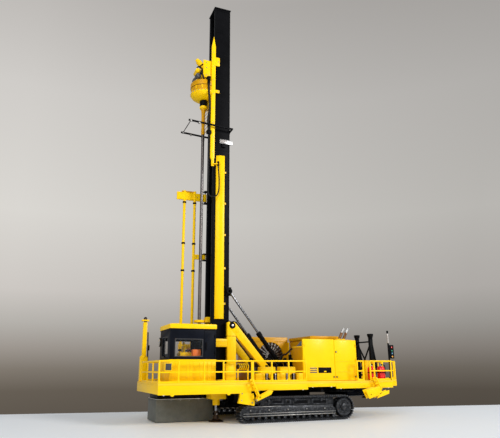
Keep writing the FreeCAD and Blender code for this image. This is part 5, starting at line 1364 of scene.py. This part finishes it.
class RIG_OT_jacks(bpy.types.Operator):
    """Makes the four levelling jacks and the dust hood round the hole"""
    bl_idname = "rig.jacks"
    bl_label = "Jacks and dust hood"

    def execute(self, context):
        for end in ("front", "rear"):
            for side in ("near", "far"):
                node = "jack_%s_%s" % (end, side)
                box = Extent(node)
                foot, tall = box("00-"), box.z1 - box.z0
                jack = Model()
                jack.turned(foot, [(2.1, 11), (2.1, tall - 0.3), (1.8, tall), (0, tall)], "chrome", 24)
                jack.turned(foot, [(0, 0), (7.8, 0), (8, 0.3), (8, 0.9), (7.4, 1.3), (4, 2.5), (2.9, 2.7), (2.9, 5.4),
                    (2.5, 5.8), (2.5, 10.2), (2.9, 10.5), (2.9, 11), (2.1, 11)], "brown", 36)
                jack.rod(box("00-", 0, -3.2, 7.8), box("00-", 0, 3.2, 7.8), 0.7, "silver", 14, 0.1)
                jack.finish(node + "_leg", node, slot="pipe_steel")
        dress("jack_housings", "yellow", 0.35)
        box = Extent("dust_hood")
        hood, wall, top = Model(), 1.6, 23.2
        hood.parts(box, """
            block --- 0 0 0  +-. 0 1.6 23.2  0.5 hood
            block -+- 0 -1.6 0  ++. 0 0 23.2  0.5 hood""")
        for x in (box.x0, box.x1 - wall):
            hood.block(box(".--", x, 0.3), (x + wall, box.y1 - 0.3, top), 0.5, "hood")
        hole, axis = 8, Extent("drill_pipe").x
        hood.parts(box, """
            block --. 0.4 0.4 21.8  +.. -0.4 -8 23.1  0.2 hood
            block -.. 0.4 8 21.8  ++. -0.4 -0.4 23.1  0.2 hood""")
        for x0, x1 in ((box.x0 + 0.4, axis - hole), (axis + hole, box.x1 - 0.4)):
            hood.block((x0, -hole - 0.1, top - 1.3), (x1, hole + 0.1, top - 0.2), 0.2, "hood")
        # The silver angle round the top is partly a real steel angle and partly a painted highlight line along the
        # hood's top edge.
        hood.parts(box, """
            surround --. 0.9 0.9 23.1  ++. -0.9 -0.9 23.6  0.85 0.12 silver
            block --. 1.6 1.4 23.2  +-. -1.6 3 38.4  0.4 black
            block -+. 1.6 -3 23.2  ++. -1.6 -1.4 38.4  0.4 black
            block --. 1.6 1.8 23.2  -+. 3.2 -1.8 38.4  0.4 black
            block +-. -3.2 1.8 23.2  ++. -1.6 -1.8 38.4  0.4 black""")
        hood.bolts([box("--.", 6 + 10 * i, 0, top - 1.2) for i in range(6)], NEAR, 0.45, 0.3, "bolt")
        hood.finish("hood_skirt", "dust_hood")
        return {"FINISHED"}


def add_latch(model, x, y, z, facing=-1):
    """A black paddle latch on a door that faces along Y."""
    y0, y1 = sorted((y, y + facing * 0.3))
    model.block((x - 1, y0, z - 0.8), (x + 1, y1, z + 0.8), 0.1, "black")
    model.rod((x, y, z), (x, y + facing * 0.7, z), 0.4, "silver", 10)


# ---------------------------------------------------------------- houses, machinery and tail
class RIG_OT_houses(bpy.types.Operator):
    """Makes the engine house, the far house and the exhausts"""
    bl_idname = "rig.houses"
    bl_label = "Houses"

    def execute(self, context):
        box = Extent("engine_house")
        house = Model()
        # The house's body behind its front panel, in the darker yellow, is painted shade.
        house.parts(box, """
            block --- 0 0 0  .-+ 50.35 3 0  0.6
            block --- 0.4 2.6 0  .+. 50.3 0 78.4  0.6 amber
            block --. 0.1 2.6 76.8  -+. 1.4 -0.4 78.2  0.2
            block .-. 24 2.6 77  .++ 50.3 0 -0.2  0.6""")
        house.side_plate([(12, 78.2), (24.2, 78.2), (24.2, 85.4), (18, 84)], box.y0 + 8, 12, 0.3, "grey")
        house.parts(box, """
            block .-- 50.65 0.2 0  .++ 79.7 0 -0.7  0.6
            block .-- 50 1 0  .++ 51 -1 -1.4  0 black
            block --. 0.6 -0.4 41.2  .-. 79.3 0.4 42  0.15
            block .-. 51.6 -0.3 50  .-. 78.9 0.6 50.6  0.15 *2 0 0 11""")
        for x, z in ((48.6, 44.6), (52.4, 44.6), (77.3, 44.6), (52.6, 72)):
            add_latch(house, x, box.y0, z)
        house.parts(box, """
            rod .-. 12.2 -0.3 45.4  .-. 12.2 -0.3 48.6  0.45 yellow 12 0.1 *3 0 0 16 *2 66.2 0 0
            block .-. 18 -0.15 48.6  .-. 27.6 0.3 55.4  0.1
            block .-. 18.3 -0.35 49.2  .-. 27.2 0 50.4  0.15 grey *3 0 0 2.2
            block .-. 28.8 -0.3 49  .-. 45.3 0.2 55  0.15 black
            block .-. 35.8 -0.4 49.9  .-. 38.6 0 51.2  0.05
            block .-+ 26 3 -0.9  .++ 47 -3 -0.1
            block .-+ 54 3 -0.9  .++ 76 -3 -0.1
            block .-+ 28 5.5 -0.5  .-+ 45 6 0  0.1 *5 0 4 0
            block .-+ 56 5.5 -0.5  .-+ 74 6 0  0.1 *5 0 4 0
            surround .-. 79.5 4 46  .+. 79.9 -4 82  0.8 0.15
            louvres .-. 79.4 6 62  .+. 80.3 -6 80  12 yellow
            block .-. 79.5 8 52  .-. 80.2 10 54  0.1 black""")
        house.finish("near_house", "engine_house")

        box = Extent("far_house")
        far = Model()
        far.block(box("---"), box("+++", -0.4, -0.4), 0.7)
        for i in range(3):
            x0 = box.x0 + 2 + i * 15.2
            far.surround((x0 + 0.8, box.y1 - 0.5, 44), (x0 + 13, box.y1 - 0.1, 82), 0.6)
            far.louvres((x0 + 3, box.y1 - 0.6, 62), (x0 + 11, box.y1, 79), 10, "yellow")
            add_latch(far, x0 + 11.4, box.y1 - 0.4, 54, 1)
            for z in (48, 76):
                far.rod((x0 + 1.4, box.y1 - 0.2, z - 1.6), (x0 + 1.4, box.y1 - 0.2, z + 1.6), 0.45, "yellow", 12, 0.1)
        far.parts(box, """
            louvres +-. -0.8 4 50  ++. 0 -4 82  18 yellow
            block --+ 3 3 -0.4  +++ -3 -3 0.6""")
        far.finish("off_side_house", "far_house")

        box = Extent("exhaust_stacks")
        stacks, y, foot, top = Model(), box.y, box.z0, box.z1 - 0.6
        for x in (63.8, 69.7):
            lean = Vector((6.6, 0, 12.4)).normalized()
            start = Vector((x, y, foot))
            stacks.turned((x, y, foot), [(2.6, 0), (2.6, 1.8), (1.6, 2.2), (0, 2.2)], steps=24)
            stacks.turned(start, [(1.5, 0.6), (1.5, 9), (1.75, 9.2), (1.75, 10), (1.5, 10.2)], "exhaust", 24,
                axis=lean)
            stacks.turned(start, [(1.5, 9.6), (1.5, 17.4), (1.2, 17.4), (1.2, 10), (0, 10)], "silver", 24, axis=lean,
                cut=((x + 7.6, y, top + 1.4), (-0.5, 0, 0.87)))
        stacks.finish("exhaust_pair", "exhaust_stacks", slot="grey_paint")
        return {"FINISHED"}


FAN_RADIUS, BLADES = 18.4, 22


class RIG_OT_machinery(bpy.types.Operator):
    """Makes the cooler with its fan, the canopy, the engine, the collector and the boxes on the deck"""
    bl_idname = "rig.machinery"
    bl_label = "Machinery"

    def execute(self, context):
        box = Extent("cooler_box")
        cooler = Model()
        face = box.y0 + 2.4
        outline = [box("-.-", 0, face), box("+.-", 0, face), box("+.+", 0, face, -0.6), box("+.+", -1, face),
            box("-.+", 5, face), box("-.+", 0, face, -3)]
        # The cooler's case, fan ring, louvres and trim, in the darker yellow, are painted shade.
        cooler.plate(outline, box(".+.", 0, -face), 0.6, "amber")
        centre, radius = Vector((9.8, face, 68.8)), FAN_RADIUS
        cooler.turned(centre + Vector((0, 0.6, 0)), [(radius - 1.2, 0), (radius, 0), (radius, 2), (radius - 0.6, 2.4),
            (radius - 1.2, 2.4), (radius - 1.2, 0)], "amber", 56, axis=NEAR)
        cooler.turned(centre + Vector((0, 0.2, 0)), disc(radius - 1.2, 0.4), "brown", 48, axis=NEAR)
        cooler.parts(box, """
            block --. 2 2 86.6  +-. -2 2.8 87.4  0.15 amber *2 0 0 -39.6
            louvres -+. 4 -1 48  ++. -4 0 88  22
            surround -+. 4 -1.2 48  ++. -4 0 88  1.2 0.2 amber
            louvres --. 0 8 56  -+. 0.8 -6 82  14 amber
            block --+ 6 5 -0.5  -++ 15 -3 0  0.2 amber *4 13 0 0""")
        cooler.finish("cooler_case", "cooler_box")
        fan = Model()
        hub = centre - Vector((0, 1.4, 0))
        for root, tip in zip(around(hub, 3.4, BLADES, NEAR), around(hub, radius - 1.4, BLADES, NEAR)):
            fan.beam(root, tip, 1.2, 0.35, 0, "bolt")
        for ring in (8, 13):
            fan.turned(hub - Vector((0, 0.5, 0)), sleeve(ring - 0.2, ring + 0.2, 0.4), "black", 48, axis=NEAR)
        fan.turned(hub, [(0, 0), (3.8, 0), (3.8, 1), (2.6, 1.7), (0, 1.8)], "black", 32, axis=NEAR)
        fan.finish("fan_wheel", "cooler_fan")

        box = Extent("centre_canopy")
        canopy = Model()
        # The canopy's walls, roof and louvres, in the darker yellow, are painted shade.
        canopy.parts(box, """
            block .-- 36.5 0.4 0  +++ -2 -0.6 -3.4  0.6 amber
            block .-+ 34.9 0.6 -4  +++ -2 0 0  0.6 amber
            block .-+ 39.5 4 -0.4  .++ 49.5 -4 0.5  0.25 amber *3 12 0 0
            surround .-. 36 10 48  .+. 36.6 -8 80  1 0.2 amber
            louvres .-. 35.8 11 49  .+. 36.6 -9 79  14 amber
            block +-. -2.4 8 46  ++. -1.2 -8 84  0.3 amber
            louvres +-. -1.7 11 50  ++. -0.7 -11 80  16 amber
            block -.- 0 -20 0  ..- 37 18 17  0.6 black
            block -.- 1 -30 0  ..- 37 -20.5 12  0.6 black
            rod ..- 20.6 -8 16  ..- 20.6 -8 29.5  2 black 20 0.4 *2 8 0 0
            rod ..- 20.6 6 16  ..- 20.6 6 26  2 black 20 0.4 *2 8 0 0
            block ... 34.2 20 70  ... 35 21.2 88  0.1 white""")
        canopy.pipe([(-3, -24, 60), (2, -24, 69), (8.5, -24, 70), (15, -24, 77), (19, -24, 76)], 1, "hose")
        canopy.pipe([(-6, -20, 52), (0, -22, 62), (9, -24, 60), (18.6, -24, 66)], 0.9, "hose")
        canopy.finish("middle_canopy", "centre_canopy")

        box = Extent("engine_block")
        engine = Model()
        engine.parts(box, """
            block --- 0 1 0  ++- 0 -1 15  0.6 grey
            block --- 2 3 14.6  +++ -2 -3 -4.4  0.6 brown
            rod -.+ 5 -6 -6  -.+ 5 -4.6 -0.4  2.1 black 20 0.3 *5 6 0 0
            rod -.+ 5 6 -6  -.+ 5 4.6 -0.4  2.1 black 20 0.3 *5 6 0 0
            block -.- 3.2 -10.2 3  -.- 6.8 -8.8 11  0.3 grey *2 0 19.2 0 *5 6 0 0
            rod -.+ 1 -8.4 -5  +.+ -1 -8.4 -5  1.6 silver 20 0.4""")
        for i in range(3):
            engine.pipe([box("-.-", 4 + 8 * i, -9, 6), box("-.-", 6 + 8 * i, -12, 14), box("-.+", 9 + 8 * i, -9, -5)],
                0.7, "hose")
        engine.finish("engine", "engine_block")

        box = Extent("dust_collector")
        bin_ = Model()
        # The collector, in the darker yellow, is painted shade.
        bin_.parts(box, """
            block --- 0 0 14  +++ 0 0 0  0.6 amber
            block --- 2 2 0  ++- -2 -2 14.4  0.5 amber
            surround -+. 3 -0.5 58  ++. -3 0.1 80  0.8 0.15 amber
            surround --. 3 -0.1 58  +-. -3 0.5 80  0.8 0.15 amber
            block -+. 5 -0.5 60  -+. 11.4 0.1 78  0.25 amber *3 8.6 0 0
            block --. 5 -0.1 60  --. 11.4 0.5 78  0.25 amber *3 8.6 0 0
            rod 00+ 0 0 -0.5  00+ 0 0 2.6  6 black 32 0.4""")
        bin_.finish("dust_bin", "dust_collector")

        box = Extent("deck_boxes")
        boxes, y0, y1 = Model(), box.y0 + 0.4, box.y1
        for x0, x1 in ((-46.8, -35.8), (-21.6, -11.6), (2, 9.9)):
            boxes.block((x0, y0, box.z0), (x1, y1, 49.1), 0.4)
        for x0, x1 in ((-40, -22.4), (-16.9, 1.7)):
            boxes.block((x0, y0 + 2, 47.5), (x1, y1, 55.9), 1)
            boxes.rod(((x0 + x1) / 2, y0 + 6, 55.4), ((x0 + x1) / 2, y0 + 6, 57.6), 1.6, "black", 18, 0.3)
        for x in (-34.6, -24.6, -10.8, -2.6):
            for step, finish in ((0, "black"), (1.3, "white"), (2.6, "black")):
                boxes.block((x + step - 0.7, y0 + 0.8, box.z0), (x + step + 0.5, y0 + 2.2, 49), 0.1, finish)
        boxes.parts(box, """
            block ..- -80.8 -64 0  ... -71.5 -58 59  0.4
            block ... -79.6 -64.4 46  ... -72.7 -63.8 57  0.2""")
        for i in range(5):
            boxes.turned((-66.4 + 2.4 * i, -61, 56), [(2.6, -0.55), (3.4, -0.35), (3.4, 0.35), (2.6, 0.55)], "yellow",
                24, 60, axis=(1, 0.35, 0))
        boxes.parts(box, """
            rod ... -68.2 -61.8 56  ... -54.6 -60.4 56  2.5 brown 20 0.3
            block ..- -67.6 -62.4 0  ... -66.4 -60.4 56  0.2
            block ..- -56.2 -62 0  ... -55 -60 56  0.2""")
        boxes.finish("deck_lockers", "deck_boxes")
        return {"FINISHED"}


class RIG_OT_tail(bpy.types.Operator):
    """Makes the mast rest, the bottles, the signal pole, the end tower and the tail box"""
    bl_idname = "rig.tail"
    bl_label = "Tail and posts"

    def execute(self, context):
        box = Extent("mast_rest")
        rest, x = Model(), 132.4
        for side in (-1, 1):
            y = side * 15.2
            rest.beam((x, y, box.z0), (x, y, 91), 4.4, 4, 0.4, "black")
            rest.turned((x, y, 89.5), [(0, 0), (2.6, 0), (2.9, 2), (3.9, 4.6), (3.9, 6.6), (3, 6.9), (2.6, 5.2),
                (0, 5)], "black")
            rest.block((x - 4, y - 3, box.z0), (x + 4, y + 3, box.z0 + 1.2), 0.3, "black")
            rest.beam((x + 1, y, 88), box("+.-", -1.4, y, 1), 2, 2, 0.3, "black")
            rest.beam((x, -side * 14.4, 46), (x, side * 14.4, 84), 1.6, 1.6, 0.3, "black")
        for z in (86.5, 45.5):
            rest.beam((x, -15, z), (x, 15, z), 1.8, 1.8, 0.3, "black")
        rest.finish("rest_frame", "mast_rest")

        box = Extent("fire_bottles")
        bottles = Model()
        for x in (99.3, 112.4):
            bottles.turned(box(".0-", x, 0, 0.4), [(0, 0), (3.6, 0), (4.5, 0.8), (4.6, 1.6), (4.6, 12.4), (4.2, 13.8),
                (2.8, 15), (1.3, 15.4), (0, 15.5)], "red", 36, 50)
            bottles.turned(box(".0-", x, 0, 15.6), [(0, 0), (1.2, 0), (1.2, 1.2), (0.7, 1.5), (0.7, 2.6), (0, 2.7)],
                "silver", 18)
            bottles.block(box(".0-", x - 0.4, -2.4, 17.3), box(".0-", x + 0.4, 0.8, 18.2), 0.15, "black")
            bottles.pipe([box(".0-", x, -1, 17), box(".0-", x + 3.2, -3.2, 17), box(".0-", x + 4.4, -2.2, 12),
                box(".0-", x + 4.4, -2, 6)], 0.5, "hose")
            bottles.turned(box(".0-", x, 0, 8), [(4.55, 0), (4.8, 0.1), (4.8, 1), (4.55, 1.1)], "black", 32)
        bottles.finish("red_bottles", "fire_bottles")

        box = Extent("signal_pole")
        pole, x, y = Model(), 118.8, -69.8
        pole.rod((x, y, box.z0), (x, y, 95.4), 1, "black", 20, 0.3)
        pole.ball((x, y, 95.2), 1.25, "black")
        pole.parts(box, """
            rod ... 118.8 -69.8 82  ... 118.8 -69.8 93  1.2 white 20 0.2
            block ..- 117.4 -71.2 0  ..- 120.2 -68.4 3  0.3 black
            block ... 119.4 -71.2 64.6  ... 125.2 -68.6 80  0.4 black""")
        for z, finish in ((77.3, "lens_red"), (73.5, "lens_green"), (70.4, "lens_blue"), (66.8, "lens_amber")):
            pole.turned((x + 3.5, y - 1.2, z), [(1.5, 0), (1.5, 0.9), (1.25, 0.9), (1.25, 0.3)], "black", 20,
                axis=NEAR)
            pole.ball((x + 3.5, y - 1.3, z), 1.25, finish, (1, 0.5, 1))
        pole.finish("lamp_pole", "signal_pole")

        box = Extent("end_tower")
        tower, x, y = Model(), box.x0 + 4.4, 35.6
        tower.block((x - 4.2, y - 4, box.z0), (x + 4.2, y + 4, 67.4), 0.5)
        tower.rod((x, y, 67.2), (x, y, 69.4), 5, "yellow", 4, None, 3.4)
        tower.parts(box, """
            block -.. 2 33.4 68  -.. 6.8 37.8 107.4  0.4
            block -.. 0 33.4 108.6  -.. 8.8 37.8 110.6
            rod -.. 4.4 35.6 107  -.. 4.4 35.6 109  1.8 black 20""")
        tower.turned((x, y, 110.4), [(0, 0), (2.2, 0), (2.2, 0.8), (1.9, 2.2), (1, 3.3), (0, 3.5)], "brown", 28, 50)
        tower.parts(box, """
            rod -.. 9 32.6 51  -.. 7.6 32.8 96  0.7 black 14 0.1
            block -.. 7.6 31.4 75  -.. 10 34 81  0.3 black
            block -.. 1 31.2 46  -.. 7.8 31.8 64  0.25""")
        tower.finish("lamp_tower", "end_tower")

        box = Extent("tail_box")
        tail = Model()
        tail.block(box("---"), box("+++"), 0.7, "navy")
        tail.parts(box, """
            block --- -0.1 -0.4 0.8  +-- 0.1 0.4 1.6  0.15 navy
            block --+ -0.1 -0.4 -2  +-+ 0.1 0.4 -1.2  0.15 navy""")
        tail.finish("tail_locker", "tail_box")
        return {"FINISHED"}


# ---------------------------------------------------------------- ladders
class RIG_OT_ladders(bpy.types.Operator):
    """Makes the three folding ladders and the blocks that carry them"""
    bl_idname = "rig.ladders"
    bl_label = "Ladders"

    def execute(self, context):
        for side in ("near", "far"):
            far = side == "far"
            holder = Model()
            outline = [(-68.3, 32.7), (-68.3, 26.6), (-70.1, 20.3), (-52.6, 17.4), (-52, 21.4), (-53.6, 32.4)]
            holder.side_plate(outline, -71.4, 3.8, 0.35)
            holder.parts(WORLD, """
                block ... -56 -71.7 29.6  ... -52.9 -71.2 31.8  0.1 black
                rod ... -66 -71.4 29.6  ... -66 -71.9 29.6  0.7 bolt 6 0
                rod ... -66.6 -71.4 23  ... -66.6 -71.9 23  0.7 bolt 6 0
                rod ... -55 -71.4 20.6  ... -55 -71.9 20.6  0.7 bolt 6 0""")
            holder.finish("ladder_holder_" + side, slot="yellow_paint", far=far)
            ladder = Model()
            for y in (-78.6, -73):
                ladder.beam((-57.6, y, 43.6), (-49, y, 25), 1.6, 1, 0.2)
                outline = [(-53.4, 21.9), (-37, 28.4), (-34.6, 32), (-37.6, 32.5), (-51.4, 26.2)]
                ladder.side_plate(outline, y - 0.5, 1, 0.2)
            ladder.parts(WORLD, """
                beam ... -56.74 -78.3 41.74  ... -56.74 -73.3 41.74  1.4 0.8 0.1 *5 1.72 0 -3.72
                beam ... -49.9 -78.3 25.2  ... -49.9 -73.3 25.2  1.6 0.8 0.1 *5 3 0 1.2
                rod ... -53 -79.2 23.2  ... -53 -71.8 23.2  0.8 bolt 14 0.1""")
            ladder.finish("ladder_steps_" + side, "ladder_" + side, far=far)
        rear = Model()
        for y in (-78.8, -73):
            rear.side_plate([(77, 30.6), (96.1, 34.7), (99.4, 27.5), (94.6, 25.2), (81.7, 21.3)], y - 0.4, 0.8, 0.2)
            rear.beam((92.5, y, 44), (99, y, 31), 1.5, 0.9, 0.2)
            rear.side_plate([(91.6, 21.6), (108.3, 26.4), (108.7, 30.2), (96, 27.4)], y - 0.4, 0.8, 0.2)
        rear.parts(WORLD, """
            beam ... 93.3125 -78.5 42.375  ... 93.3125 -73.3 42.375  1.3 0.8 0.1 *4 1.625 0 -3.25
            beam ... 82.375 -78.5 27.025  ... 82.375 -73.3 27.025  1.6 0.8 0.1 *4 3.75 0 0.85
            rod ... 84 -79.2 26  ... 84 -71.8 26  0.8 bolt 14 0.1""")
        rear.finish("rear_ladder_steps", "ladder_rear")
        return {"FINISHED"}


# ---------------------------------------------------------------- add-on
OPERATORS = [RIG_OT_stage, RIG_OT_hoses, RIG_OT_deck, RIG_OT_handrails, RIG_OT_cab, RIG_OT_mast, RIG_OT_head,
    RIG_OT_rack, RIG_OT_towers, RIG_OT_tracks, RIG_OT_jacks, RIG_OT_houses, RIG_OT_machinery, RIG_OT_tail,
    RIG_OT_ladders]


class RIG_PT_sidebar(bpy.types.Panel):
    """Lists the operators, the colours and the sizes"""
    bl_idname = "RIG_PT_sidebar"
    bl_label = "Drilling Rig"
    bl_space_type = "VIEW_3D"
    bl_region_type = "UI"
    bl_category = "Drilling Rig"

    def draw(self, context):
        for operator in OPERATORS:
            self.layout.operator(operator.bl_idname)
        for group in (context.scene.rig_colours, context.scene.rig_sizes):
            for key in group.__annotations__:
                self.layout.prop(group, key)


CLASSES = [RigColours, RigSizes, *OPERATORS, RIG_PT_sidebar]


def register():
    for cls in CLASSES:
        bpy.utils.register_class(cls)
    bpy.types.Scene.rig_colours = PointerProperty(type=RigColours)
    bpy.types.Scene.rig_sizes = PointerProperty(type=RigSizes)


def unregister():
    del bpy.types.Scene.rig_sizes
    del bpy.types.Scene.rig_colours
    for cls in reversed(CLASSES):
        bpy.utils.unregister_class(cls)


def main():
    """Runs every operator once."""
    register()
    for operator in OPERATORS:
        family, name = operator.bl_idname.split(".")
        getattr(getattr(bpy.ops, family), name)()


if __name__ == "__main__":
    main()
